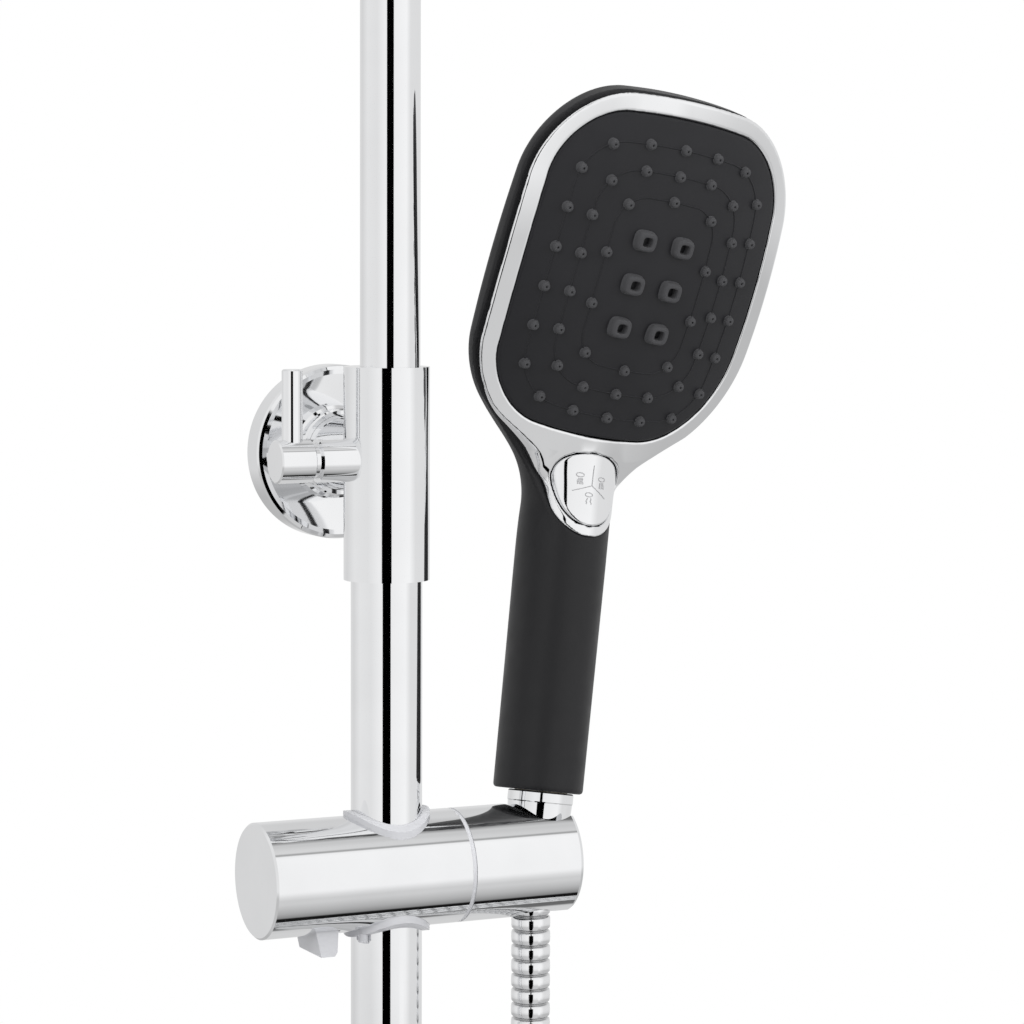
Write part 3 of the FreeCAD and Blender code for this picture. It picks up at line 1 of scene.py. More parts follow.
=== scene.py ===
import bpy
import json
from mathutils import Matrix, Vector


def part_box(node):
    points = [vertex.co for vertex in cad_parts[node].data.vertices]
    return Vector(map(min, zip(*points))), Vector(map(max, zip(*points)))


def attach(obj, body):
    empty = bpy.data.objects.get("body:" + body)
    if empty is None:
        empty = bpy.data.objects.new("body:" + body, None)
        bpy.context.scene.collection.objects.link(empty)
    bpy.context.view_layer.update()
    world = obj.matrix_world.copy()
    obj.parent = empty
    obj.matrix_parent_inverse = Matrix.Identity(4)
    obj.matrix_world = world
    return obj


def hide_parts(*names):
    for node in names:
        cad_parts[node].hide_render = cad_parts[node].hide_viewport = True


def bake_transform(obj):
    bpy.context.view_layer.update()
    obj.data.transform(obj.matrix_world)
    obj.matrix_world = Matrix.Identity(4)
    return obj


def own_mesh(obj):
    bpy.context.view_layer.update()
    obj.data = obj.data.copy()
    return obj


bl_info = {
    "name": "Shower Set Looks",
    "version": (1, 0, 0),
    "blender": (4, 5, 0),
    "location": "3D View > Sidebar > Shower Set",
    "description": "Dresses the packed shower set: hose, hand shower, spray face, spring, finishes and studio",
    "category": "Object",
}

import json

import bmesh
import bpy
import numpy as np
from mathutils import Matrix

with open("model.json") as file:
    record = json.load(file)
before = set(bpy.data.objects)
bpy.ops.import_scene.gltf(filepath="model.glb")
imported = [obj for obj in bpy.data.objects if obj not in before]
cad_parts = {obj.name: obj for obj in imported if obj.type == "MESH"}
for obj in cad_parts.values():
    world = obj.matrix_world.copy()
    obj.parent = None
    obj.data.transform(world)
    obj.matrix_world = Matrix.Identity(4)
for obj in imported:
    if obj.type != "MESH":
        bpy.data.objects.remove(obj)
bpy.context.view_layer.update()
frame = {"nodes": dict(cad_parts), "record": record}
MM = 0.001


def turn_about(axis, degrees):
    """Rotation matrix by the right-hand rule about one of the axes 0, 1, 2."""
    angle = np.radians(degrees)
    cosine, sine = np.cos(angle), np.sin(angle)
    matrix = np.eye(3)
    first, second = [index for index in range(3) if index != axis]
    if axis == 1:
        first, second = second, first
    matrix[first, first] = matrix[second, second] = cosine
    matrix[second, first] = sine
    matrix[first, second] = -sine
    return matrix


# Places that the part's source gives, in millimetres
HOLDER_LEAN = turn_about(0, -5.91) @ turn_about(1, 8.85)
HANDSET_TURN = HOLDER_LEAN @ turn_about(2, 6.7)
HANDSET_AT = np.array([58.0, -52.5, -144.8])
FACE_TURN = turn_about(0, 110.0)
FACE_AT = np.array([0.0, -38.9, 203.0])
# The spray face, its frame and the shell behind it
FACE_RISE = 1.3
FACE_SPAN = 90.0
DOME_ACROSS = 152.0
DOME_ALONG = 350.0
HALF_WIDTH = 49.4
HALF_HEIGHT = 59.3
SIDE_BOW = 500.0
END_BOW = 200.0
TOP_CORNER = 22.0
FOOT_CORNER = 24.5
FOOT_SKEW = 4.5
TOP_RISE = 0.8
FOOT_RISE = -1.4
FRAME_WIDTH = 6.7
FRAME_FLAT = 0.11
FRAME_PROUD = 0.4
FRAME_SHEET = 1.8
PLATE_SHEET = 2.5
PLATE_BED = 3.6
NECK_WIDTH = 17.1
NECK_ARC = 20.0
FRONT_BLEND = 3.0
SHELL_STEP = 0.1
SHELL_FRONT = 12.0
SHELL_RIM = 6.0
SHELL_BACK = 29.5
BACK_EDGE = 30.0
BACK_ROUND = 3.0
HANDLE_FOOT = 24.0
GRIP_END = 168.0
GRIP_ROUND = 14.0
BUTTON_GAP = 0.35
BUTTON_DEPTH = 3.0
BUTTON_TRAVEL = 1.2
WELL_GAP = 0.6
WELL_DEPTH = 1.4
# Clamp spring's wire radius, in metres, and its turns
SPRING_WIRE = 0.0006
SPRING_TURNS = 6
# Nozzle loops: inset from the outline, corner radius and count of nozzles
NOZZLE_LOOPS = ((9.6, 19.0, 22), (18.9, 16.0, 18), (28.0, 12.0, 10))
JET_PITCH = 16.0
# The hose, its coil and its tail
HOSE_TOP = np.array([55.923, -53.873, -159.568])
COIL_RADIUS = 70.0
COIL_PITCH = 15.6
COIL_TURNS = 3
COIL_CENTRE = -417.0
TAIL = 45.0
# The dark card and the bars that the metal mirrors
CARD_HEADING = -23.5
BARS_AT = 0.436
# The camera: focal length and picture in pixels, its turns in radians and its way from the aim
FOCAL_PIXELS = 3417.07
PICTURE_PIXELS = 1024
SENSOR = 36.0
CAMERA_TURNS = (0.452, 0.082, 0.0036)
CAMERA_AIM = np.array([0.0, -52.5, -144.8])
CAMERA_AWAY = 1200.235
CAMERA_RIGHT = 44.111
CAMERA_UP = 125.9


def length_setting(name, description, default, low, high):
    """A length that the panel shows."""
    return bpy.props.FloatProperty(
        name=name, description=description, default=default, min=low, max=high, subtype="DISTANCE",
        unit="LENGTH",
    )


def colour_setting(name, description, default):
    """A colour that the panel shows."""
    return bpy.props.FloatVectorProperty(
        name=name, description=description, default=default, size=3, subtype="COLOR",
    )


class HoseSizes(bpy.types.PropertyGroup):
    """The metal hose."""

    radius: length_setting("Radius", "Over the ribs", 0.007, 0.004, 0.012)
    pitch: length_setting("Rib pitch", "From rib to rib", 0.0053, 0.002, 0.01)
    groove: length_setting("Groove", "Depth between two ribs", 0.0011, 0.0, 0.002)


class FaceSizes(bpy.types.PropertyGroup):
    """The spray face's small forms."""

    nozzle_rise: length_setting("Nozzle rise", "Nozzle over the face", 0.0021, 0.0005, 0.003)
    link_width: length_setting("Link width", "Raised line from nozzle to nozzle", 0.0008, 0.0003, 0.003)
    link_rise: length_setting("Link rise", "Raised line over the face", 0.0003, 0.0, 0.001)


class BodySizes(bpy.types.PropertyGroup):
    """The hand shower's body."""

    grid: length_setting("Grid", "Mesh width of the chrome frame", 0.00045, 0.0003, 0.002)


class FinishColours(bpy.types.PropertyGroup):
    """Colours of the finishes, in linear light."""

    chrome: colour_setting("Chrome", "Plated metal", (0.9, 0.905, 0.915))
    housing: colour_setting("Housing", "Soft-touch black", (0.011, 0.011, 0.0122))
    plate: colour_setting("Face plate", "Satin dark grey", (0.015, 0.015, 0.0172))
    rubber: colour_setting("Nozzles", "Silicone of the nozzles", (0.06, 0.06, 0.066))
    pale: colour_setting("Pale plastic", "Bush, tab and washer", (0.62, 0.625, 0.65))


# Shader maths

class Wire:
    """A socket that adds a Math node for each operator."""

    def __init__(self, finish, socket):
        self.finish = finish
        self.socket = socket

    def join(self, operation, *values):
        return self.finish.node("ShaderNodeMath", {"operation": operation}, dict(enumerate(values)))

    def __add__(self, other):
        return self.join("ADD", self, other)

    def __radd__(self, other):
        return self.join("ADD", other, self)

    def __sub__(self, other):
        return self.join("SUBTRACT", self, other)

    def __rsub__(self, other):
        return self.join("SUBTRACT", other, self)

    def __mul__(self, other):
        return self.join("MULTIPLY", self, other)

    def __rmul__(self, other):
        return self.join("MULTIPLY", other, self)

    def __truediv__(self, other):
        return self.join("DIVIDE", self, other)

    def __abs__(self):
        return self.join("ABSOLUTE", self)


class Finish:
    """A node tree, with one method that adds any node."""

    def __init__(self, tree):
        self.tree = tree
        self.tree.nodes.clear()

    def node(self, kind, settings=None, inputs=None, output=0):
        made = self.tree.nodes.new(kind)
        for key, value in (settings or {}).items():
            if key == "stops":
                self.set_stops(made.color_ramp, value)
            else:
                setattr(made, key, value)
        for key, value in (inputs or {}).items():
            if isinstance(value, Wire):
                self.tree.links.new(value.socket, made.inputs[key])
            else:
                made.inputs[key].default_value = value
        return Wire(self, made.outputs[output]) if made.outputs else made

    @staticmethod
    def set_stops(ramp, stops):
        while len(ramp.elements) < len(stops):
            ramp.elements.new(0.5)
        for element, (place, level) in zip(ramp.elements, stops):
            element.position = place
            element.color = (level, level, level, 1.0)

    def spots(self, scale, detail=2.0, where=None):
        """Noise from 0 to 1 on Object coordinates."""
        where = where or self.node("ShaderNodeTexCoord", output="Object")
        return self.node("ShaderNodeTexNoise", inputs={"Vector": where, "Scale": scale, "Detail": detail})

    def ramp(self, value, start, end, low, high):
        """Maps start..end of a value to low..high."""
        return self.node(
            "ShaderNodeMapRange",
            inputs={"Value": value, "From Min": start, "From Max": end, "To Min": low, "To Max": high},
        )

    def spread(self, value, low, high):
        """Maps 0.3..0.7 of a noise to low..high."""
        return self.ramp(value, 0.3, 0.7, low, high)

    def blend(self, factor, low, high):
        """Mixes two colours."""
        return self.node("ShaderNodeMix", {"data_type": "RGBA"}, {0: factor, 6: low, 7: high}, output=2)

    def bump(self, height, strength, distance):
        return self.node(
            "ShaderNodeBump", inputs={"Height": height, "Strength": strength, "Distance": distance},
        )

    def surface(self, **inputs):
        shader = self.node("ShaderNodeBsdfPrincipled", inputs=inputs)
        self.node("ShaderNodeOutputMaterial", inputs={"Surface": shader})


def new_finish(name):
    """An empty material and the tool that fills it."""
    material = bpy.data.materials.new(name)
    material.use_nodes = True
    return material, Finish(material.node_tree)


def shade(colour, factor):
    """A colour made darker or lighter, with full alpha."""
    return (*[channel * factor for channel in colour], 1.0)


def chrome_finish(name, colour, rough=0.04):
    """Plated metal: polish that varies a little, with faint wipe marks."""
    material, make = new_finish(name)
    cloud = make.spots(55.0, 3.0)
    tint = make.blend(make.spread(cloud, 0.0, 1.0), shade(colour, 0.97), shade(colour, 1.0))
    polish = make.spread(make.spots(420.0, 4.0), rough * 0.8, rough * 1.25)
    make.surface(**{"Base Color": tint, "Metallic": 1.0, "Roughness": polish})
    return material


def moulded_finish(name, colour, rough, grain, depth, coat=0.0, shine=0.5):
    """Moulded plastic or rubber: fine eroded grain, with a slow drift of shade and gloss."""
    material, make = new_finish(name)
    drift = make.spots(38.0, 2.0)
    tint = make.blend(make.spread(drift, 0.0, 1.0), shade(colour, 0.93), shade(colour, 1.06))
    texture = make.spots(grain, 3.0)
    gloss = make.spread(make.spots(160.0, 3.0), rough - 0.04, rough + 0.04)
    make.surface(**{
        "Base Color": tint, "Roughness": gloss, "Normal": make.bump(texture, 0.35, depth),
        "Coat Weight": coat, "Specular IOR Level": shine,
    })
    return material


def nozzle_finish(name, colour):
    """Silicone: matt; the mesh's own attribute paints shade where it is low and lit colour where it is high.
    """
    material, make = new_finish(name)
    tone = make.node("ShaderNodeAttribute", {"attribute_name": "tone"}, output="Fac")
    wear = make.spread(make.spots(300.0), 0.9, 1.0)
    # Painted light and shade: the per-point attribute darkens the silicone to 7% on shaded feet, walls and
    # mouths and keeps lit tops at full colour.
    tint = make.blend(tone * wear, shade(colour, 0.07), shade(colour, 1.0))
    make.surface(**{
        "Base Color": tint, "Roughness": make.spread(make.spots(700.0), 0.36, 0.44),
        "Normal": make.bump(make.spots(2600.0, 3.0), 0.3, 0.00003), "Specular IOR Level": 0.35,
    })
    return material


def turned_finish(name, colour, rough):
    """Bare turned metal: fine rings of the tool along the piece."""
    material, make = new_finish(name)
    where = make.node("ShaderNodeTexCoord", output="Object")
    stretched = make.node("ShaderNodeMapping", inputs={0: where, "Scale": (60.0, 60.0, 2500.0)})
    rings = make.node("ShaderNodeTexNoise", inputs={"Vector": stretched, "Scale": 1.0, "Detail": 2.0})
    tint = make.blend(make.spread(rings, 0.0, 1.0), shade(colour, 0.85), shade(colour, 1.05))
    make.surface(**{
        "Base Color": tint, "Metallic": 1.0, "Roughness": make.spread(rings, rough - 0.06, rough + 0.06),
        "Normal": make.bump(rings, 0.15, 0.0001),
    })
    return material


def hose_finish(name, colour):
    """Wound strip: bright ribs and painted shade in the grooves, by the mesh's own depth attribute."""
    material, make = new_finish(name)
    depth = make.node("ShaderNodeAttribute", {"attribute_name": "depth"}, output="Fac")
    # Painted shade: the colour falls to 55% with the groove depth.
    tint = make.blend(depth, shade(colour, 1.0), shade(colour, 0.55))
    polish = make.spread(make.spots(900.0, 3.0), 0.05, 0.09) + depth * 0.2
    make.surface(**{"Base Color": tint, "Metallic": 1.0, "Roughness": polish})
    return material


# Surfaces

def handset_to_row(points):
    """From the hand shower's own axes, in millimetres, to the row frame, in metres."""
    return (HANDSET_AT + points @ HANDSET_TURN.T) * MM


def dome_depth(across, up):
    """Set-back of the domed face: an arc of DOME_ALONG turned about an axis DOME_ACROSS behind the centre."""
    here = DOME_ACROSS - DOME_ALONG + np.sqrt(DOME_ALONG ** 2 - (up - FACE_RISE) ** 2)
    return DOME_ACROSS - np.sqrt(here ** 2 - across ** 2)


def face_depth(across, up):
    """The domed face's set-back, with the far sides held at the dome's own span."""
    return dome_depth(np.clip(across, -FACE_SPAN, FACE_SPAN), up)


def on_face(across, up, rise):
    """Places on the face, lifted by rise along the face's normal, in the row frame."""
    across, up, rise = np.broadcast_arrays(across, up, rise)
    flat = np.stack([across, up, rise - dome_depth(across, up)], axis=-1)
    return handset_to_row(FACE_AT + flat @ FACE_TURN.T)


def loop_line(inset, corner, count):
    """Closed line parallel to the face's outline, evenly spaced from the top.

    Its sides are bowed and its corners are arcs that touch them.
    """
    half = np.array([HALF_WIDTH - inset, HALF_HEIGHT - inset])
    side, end = SIDE_BOW - inset, END_BOW - inset
    side_centre = np.array([half[0] - side, 0.0])
    end_centre = np.array([0.0, half[1] - end])
    between = end_centre - side_centre
    gap = np.hypot(*between)
    way = between / gap
    reach = ((side - corner) ** 2 - (end - corner) ** 2 + gap ** 2) / (2 * gap)
    off = np.sqrt((side - corner) ** 2 - reach ** 2)
    centre = side_centre + way * reach + np.array([way[1], -way[0]]) * off
    if centre.sum() < 0:
        centre = side_centre + way * reach - np.array([way[1], -way[0]]) * off
    on_side, on_end = centre - side_centre, centre - end_centre
    side_angle = np.arctan2(on_side[1], on_side[0])
    end_angle = np.arctan2(on_end[1], on_end[0])
    share = np.linspace(0.0, 1.0, 60)[:, None]
    bow = np.linspace(np.pi / 2, end_angle, 60)[:, None]
    turn = end_angle + (side_angle - end_angle) * share
    flank = side_angle * (1.0 - share)
    quarter = np.vstack([
        end_centre + end * np.hstack([np.cos(bow), np.sin(bow)]),
        centre + corner * np.hstack([np.cos(turn), np.sin(turn)])[1:],
        side_centre + side * np.hstack([np.cos(flank), np.sin(flank)])[1:],
    ])
    lower = quarter[::-1][1:] * [1, -1]
    right = np.vstack([quarter, lower])
    line = np.vstack([right, right[::-1][1:] * [-1, 1]])
    run = np.concatenate([[0.0], np.cumsum(np.hypot(*np.diff(line, axis=0).T))])
    at = np.arange(count) / count * run[-1]
    across, up = (np.interp(at, run, line[:, axis]) for axis in range(2))
    return np.stack([across, up + FACE_RISE], axis=-1)


def grid_faces(rows, columns, close_rows=False, close_columns=True):
    """Quads of a grid of points, closed along rows or columns where asked."""
    row = np.arange(rows if close_rows else rows - 1)
    column = np.arange(columns if close_columns else columns - 1)
    r, c = np.meshgrid(row, column, indexing="ij")
    r_next, c_next = (r + 1) % rows, (c + 1) % columns
    corners = [r * columns + c, r * columns + c_next, r_next * columns + c_next, r_next * columns + c]
    return np.stack([corner.ravel() for corner in corners], axis=-1)


def tube_faces(rows, columns):
    """Quads of a tube of points, and a face at each end."""
    faces = grid_faces(rows, columns).tolist()
    faces.append(list(range(columns))[::-1])
    faces.append(list(range((rows - 1) * columns, rows * columns)))
    return faces


def mesh_piece(name, points, faces, material):
    """A shaded object from arrays of points and faces, with its place in its mesh."""
    mesh = bpy.data.meshes.new(name)
    mesh.from_pydata(np.asarray(points).reshape(-1, 3).tolist(), [], [list(face) for face in faces])
    mesh.polygons.foreach_set("use_smooth", np.ones(len(mesh.polygons), bool))
    mesh.update()
    piece = bpy.data.objects.new(name, mesh)
    bpy.context.scene.collection.objects.link(piece)
    piece.data.materials.append(material)
    return piece


def point_values(piece, name, values):
    """Gives each point of a piece a number that its finish reads."""
    layer = piece.data.attributes.new(name, "FLOAT", "POINT")
    layer.data.foreach_set("value", np.asarray(values, np.float32))


def copies(points, faces):
    """Joins equal grids: points is (copies, rows * columns, 3), faces belong to the first."""
    count, size = points.shape[:2]
    shift = (np.arange(count) * size)[:, None, None]
    return points.reshape(-1, 3), (faces[None] + shift).reshape(-1, faces.shape[1])


def outward(piece):
    """Turns every face outwards."""
    work = bmesh.new()
    work.from_mesh(piece.data)
    bmesh.ops.recalc_face_normals(work, faces=work.faces)
    work.to_mesh(piece.data)
    work.free()
    return piece


# The hand shower's body, as fields that are about the distance to a surface: less than 0 inside

def to_face(x, y, s):
    """From the hand shower's own axes to the face's: across, up and out of it."""
    back, up = y - FACE_AT[1], s - FACE_AT[2]
    cosine, sine = FACE_TURN[1, 1], FACE_TURN[2, 1]
    return x, back * cosine + up * sine, up * cosine - back * sine


def from_face(x, t, n):
    """From the face's axes to the hand shower's own."""
    cosine, sine = FACE_TURN[1, 1], FACE_TURN[2, 1]
    return x, FACE_AT[1] + t * cosine - n * sine, FACE_AT[2] + t * sine + n * cosine


def soft_max(first, second, reach):
    """The larger of two fields, rounded where they differ by less than reach."""
    near = np.maximum(reach - np.abs(first - second), 0.0)
    return np.maximum(first, second) + near * near / (4.0 * reach)


def round_max(first, second, radius):
    """What two fields have in common, with its edge rounded by a true arc."""
    arc = np.hypot(np.maximum(radius + first, 0.0), np.maximum(radius + second, 0.0))
    return np.minimum(-radius, np.maximum(first, second)) + arc


def round_min(first, second, radius):
    """Two fields in one, with an arc in the corner between them."""
    return -round_max(-first, -second, radius)


def soft_min(first, second, reach):
    """The smaller of two fields, rounded where they differ by less than reach."""
    return -soft_max(-first, -second, reach)


def curve_at(at, places, values):
    """A smooth curve through places and values: cubic pieces whose slopes are their neighbours'."""
    places, values = np.asarray(places, float), np.asarray(values, float)
    slopes = np.gradient(values, places)
    piece = np.clip(np.searchsorted(places, at) - 1, 0, len(places) - 2)
    width = places[piece + 1] - places[piece]
    u = np.clip((at - places[piece]) / width, 0.0, 1.0)
    start, end = values[piece], values[piece + 1]
    return (
        start * (1 + 2 * u) * (1 - u) ** 2 + end * u * u * (3 - 2 * u)
        + width * u * (1 - u) * (slopes[piece] * (1 - u) - slopes[piece + 1] * u)
    )


def outline_field(x, t, grow):
    """Distance to the head's outline, grown by grow: bowed sides and arcs, the widest at the foot's right."""
    up = t - FACE_RISE
    foot = up < 0
    high = HALF_HEIGHT + grow + np.where(foot, FOOT_RISE, TOP_RISE)
    corner = np.where(foot, FOOT_CORNER + FOOT_SKEW * np.sign(x), TOP_CORNER) + grow
    side, end = SIDE_BOW + grow, END_BOW + grow
    across = np.hypot(np.abs(x) - (HALF_WIDTH + grow - side), up) - side + corner
    along = np.hypot(x, np.abs(up) - (high - end)) - end + corner
    outside = np.hypot(np.maximum(across, 0.0), np.maximum(along, 0.0))
    return outside + np.minimum(np.maximum(across, along), 0.0) - corner


# The handle's ellipses by the way along: half width, half depth and the middle's set-back
HANDLE_PLACES = [
    HANDLE_FOOT, 60.0, 96.0, 106.0, 113.0, 120.0, 127.0, 134.0, 141.0, 148.0, 155.0, 162.0, 169.0,
]
HANDLE_WIDE = [16.2, 16.35, 16.55, 16.6, 16.6, 16.6, 16.6, 16.6, 16.6, 16.8, 17.2, 17.6, 18.0]
HANDLE_DEEP = [16.2, 16.35, 16.55, 16.6, 16.6, 16.4, 15.9, 15.0, 13.9, 13.2, 13.6, 14.2, 14.6]
HANDLE_MIDDLE = [2.2, 2.2, 2.2, 2.2, 2.2, 2.1, 1.8, 1.3, 0.6, -0.5, -2.4, -4.8, -7.4]


def handle_field(x, y, s, swell):
    """Distance to the handle and neck: ellipses along the nut's axis, flatter towards the head."""
    wide = curve_at(s, HANDLE_PLACES, HANDLE_WIDE) + swell
    deep = curve_at(s, HANDLE_PLACES, HANDLE_DEEP) + swell
    back = y - curve_at(s, HANDLE_PLACES, HANDLE_MIDDLE)
    share = np.hypot(x / wide, back / deep)
    slope = np.hypot(x / wide ** 2, back / deep ** 2)
    return np.where(share > 0.05, (share - 1.0) * share / np.maximum(slope, 1e-4), -deep)


def under_curve(value, along, places, limits):
    """Distance to a curve that gives the limit of a value by the way along, square across at both ends."""
    limit = np.interp(along, places, limits)
    steep = np.interp(along + 0.5, places, limits) - np.interp(along - 0.5, places, limits)
    past = np.maximum(places[0] - along, along - places[-1])
    return np.maximum((value - limit) / np.hypot(1.0, steep), past)


def dense_curve(places, widths, count=160):
    """Places and widths of a curve that starts square across: smooth in the root of the way along."""
    places = np.asarray(places, float)
    root = np.sqrt(places - places[0])
    dense = np.linspace(0.0, root[-1], count)
    return dense ** 2 + places[0], curve_at(dense, root, widths)


# The button's outline: half width by the way along, from its foot and from its head
BUTTON_FOOT = dense_curve([-83.2, -80.6, -76.0, -70.0, -66.0], [0.0, 7.4, 10.9, 13.0, 13.8])
BUTTON_HEAD = dense_curve([57.3, 58.1, 60.2, 63.0, 66.0], [0.0, 6.4, 11.2, 13.3, 13.8])
BUTTON_LINE = (
    np.concatenate([BUTTON_FOOT[0], -BUTTON_HEAD[0][::-1][1:]]),
    np.concatenate([BUTTON_FOOT[1], BUTTON_HEAD[1][::-1][1:]]),
)
# The chrome tongue's edge in side view: depth by the way up the face
TONGUE_LINE = dense_curve(
    [
        -90.45, -90.05, -89.3, -88.4, -86.8, -84.4, -80.5, -76.9, -72.2, -69.7, -66.0, -60.0, -52.0, -40.0,
        80.0,
    ],
    [-8.0, -6.5, -5.3, -3.9, -1.5, 1.5, 5.2, 8.1, 11.05, 12.3, 13.1, 12.8, 12.2, 12.0, 12.0], 400,
)


def button_edge(x, s):
    """Distance to the button's outline in front view."""
    return under_curve(np.abs(x), s - FACE_AT[2], *BUTTON_LINE)


def front_body(x, t, n):
    """Head and neck's front in one: the dome and the handle's front, to an outline with neck arcs."""
    neck = np.maximum(np.abs(x) - NECK_WIDTH, t)
    outline = round_min(outline_field(x, t, FRAME_WIDTH), neck, NECK_ARC)
    dome = FRAME_PROUD - face_depth(x, t)
    dome += FRAME_FLAT * np.clip(outline_field(x, t, 0.0), 0.0, 8.0)
    front = soft_min(n - dome, handle_field(*from_face(x, t, n), 0.5), FRONT_BLEND)
    return round_max(outline, front, 0.8 + 4.0 * np.clip((-52.0 - t) / 14.0, 0.0, 1.0))


def front_edge(x, t, n):
    """Depth past the chrome's edge: just behind the frame's front, and a tongue on the handle's front."""
    inner = np.clip(1.0 - outline_field(x, t, 0.0) / 5.0, 0.0, 1.0)
    limit = face_depth(x, t) - 0.2 + 2.5 * inner + 0.3 * np.clip(-46.0 - t, 0.0, 40.0)
    return np.maximum(under_curve(-n, t, *TONGUE_LINE), -n - limit)


def frame_field(x, t, n):
    """Chrome frame: the front as a sheet, with the face's opening and the button's hole."""
    s = from_face(x, t, n)[2]
    body = front_body(x, t, n)
    sheet = np.maximum(body, -(body + FRAME_SHEET))
    hole = button_edge(x, s) - BUTTON_GAP
    opening = outline_field(x, t, 0.1)
    return soft_max(soft_max(soft_max(sheet, front_edge(x, t, n), 0.8), -hole, 0.8), -opening, 1.0)


def housing_field(x, y, s):
    """Black housing: handle, neck and the head's round back, under the chrome, hollow under the button."""
    t, n = to_face(x, y, s)[1:]
    deep = -n
    start = SHELL_FRONT + SHELL_RIM
    turn = np.clip((deep - start) / (SHELL_BACK - start), 0.0, 0.985)
    inset = BACK_EDGE * (1.0 - np.sqrt(1.0 - turn * turn))
    side = outline_field(x, t, FRAME_WIDTH + SHELL_STEP) + inset
    head = soft_max(side, deep - SHELL_BACK, BACK_ROUND)
    bed = n + PLATE_BED + face_depth(x, t)
    head = np.maximum(head, bed)
    tube = handle_field(x, y, s, 0.0)
    grip = soft_max(soft_max(tube, HANDLE_FOOT - s, 1.6), s - GRIP_END, GRIP_ROUND)
    whole = round_min(head, grip, NECK_ARC * (1.0 - 0.35 * np.tanh(x / 8.0)))
    under_plate = np.maximum(outline_field(x, t, 0.6), -bed)
    whole = np.maximum(whole, -under_plate)
    under_chrome = np.maximum(-(front_body(x, t, n) + 1.2), front_edge(x, t, n) - 0.3)
    well = np.maximum(button_edge(x, s) - BUTTON_GAP - WELL_GAP, y)
    well = np.maximum(well, -tube - BUTTON_DEPTH - BUTTON_TRAVEL - WELL_DEPTH)
    return np.maximum(np.maximum(whole, -under_chrome), -well)


def plate_field(x, t, n):
    """Face plate: the dome inside the frame's opening."""
    top = n + face_depth(x, t)
    return np.maximum(soft_max(outline_field(x, t, -0.1), top, 0.6), -top - PLATE_SHEET)


def button_field(x, t, n):
    """Mode button: the handle's front lifted a little, inside its own outline."""
    y, s = from_face(x, t, n)[1:]
    tube = handle_field(x, y, s, 0.9)
    return soft_max(np.maximum(tube, -tube - BUTTON_DEPTH - 0.9), button_edge(x, s), 0.8)


def level_mesh(field, low, high, step):
    """Mesh of a field's zero level: a point in each grid cell it crosses, a quad round each crossed edge.

    Each point starts at the mean of the crossings with its cell's edges, then goes down the slope to zero.
    """
    axes = [np.arange(start, end + step, step) for start, end in zip(low, high)]
    level = field(*np.meshgrid(*axes, indexing="ij"))
    inside = level < 0
    size = np.array(level.shape) - 1
    corners = np.array(np.meshgrid([0, 1], [0, 1], [0, 1], indexing="ij")).reshape(3, -1).T
    filled = sum(
        inside[i:i + size[0], j:j + size[1], k:k + size[2]].astype(np.int8) for i, j, k in corners
    )
    cells = np.argwhere((filled > 0) & (filled < 8))
    number = np.full(size, -1)
    number[tuple(cells.T)] = np.arange(len(cells))
    total, hits = np.zeros((len(cells), 3)), np.zeros((len(cells), 1))
    for corner in corners:
        for axis in np.flatnonzero(corner == 0):
            ahead = np.eye(3, dtype=int)[axis]
            start, end = level[tuple((cells + corner).T)], level[tuple((cells + corner + ahead).T)]
            crossed = ((start < 0) != (end < 0))[:, None]
            share = (start / np.where(start == end, 1.0, start - end))[:, None]
            total += np.where(crossed, corner + ahead * share, 0.0)
            hits += crossed
    points = np.array(low) + (cells + total / hits) * step
    for _ in range(4):
        here = field(*points.T)
        slope = np.stack([
            (field(*(points + shift).T) - field(*(points - shift).T)) / 0.1 for shift in np.eye(3) * 0.05
        ], axis=-1)
        move = here[:, None] * slope / np.maximum((slope ** 2).sum(axis=1), 0.2)[:, None]
        points = points - np.clip(move, -0.4 * step, 0.4 * step)
    faces = []
    for axis in range(3):
        ahead, first, second = np.roll(np.eye(3, dtype=int), -axis, axis=0)
        start = inside[tuple(slice(0, -1) if ahead[index] else slice(1, -1) for index in range(3))]
        end = inside[tuple(slice(1, None) if ahead[index] else slice(1, -1) for index in range(3))]
        nodes = np.argwhere(start != end)
        leaves = start[tuple(nodes.T)]
        nodes = nodes + first + second
        quad = np.stack([
            number[tuple((nodes - shift).T)] for shift in (first + second, second, 0 * first, first)
        ], axis=-1)
        faces.append(np.where(leaves[:, None], quad, quad[:, ::-1]))
    return points, np.vstack(faces)


def hose_route():
    """The hose's points: straight down into the coil's left side, the coil's tangent polygon and the tail."""
    side, back = HOSE_TOP[:2]
    start = [HOSE_TOP, [side, back, -205.0], [side, back, COIL_CENTRE + 14.0]]
    angle = np.radians(15.0 + 30.0 * np.arange(12 * COIL_TURNS))
    reach = COIL_RADIUS / np.cos(np.radians(15.0))
    coil = np.stack([
        side + COIL_RADIUS - reach * np.cos(angle), back - COIL_PITCH * angle / (2 * np.pi),
        COIL_CENTRE - reach * np.sin(angle),
    ], axis=-1)
    front = back - COIL_PITCH * COIL_TURNS
    end = [[side, front, COIL_CENTRE], [side, front, COIL_CENTRE - TAIL]]
    return np.vstack([start, coil, end]) * MM


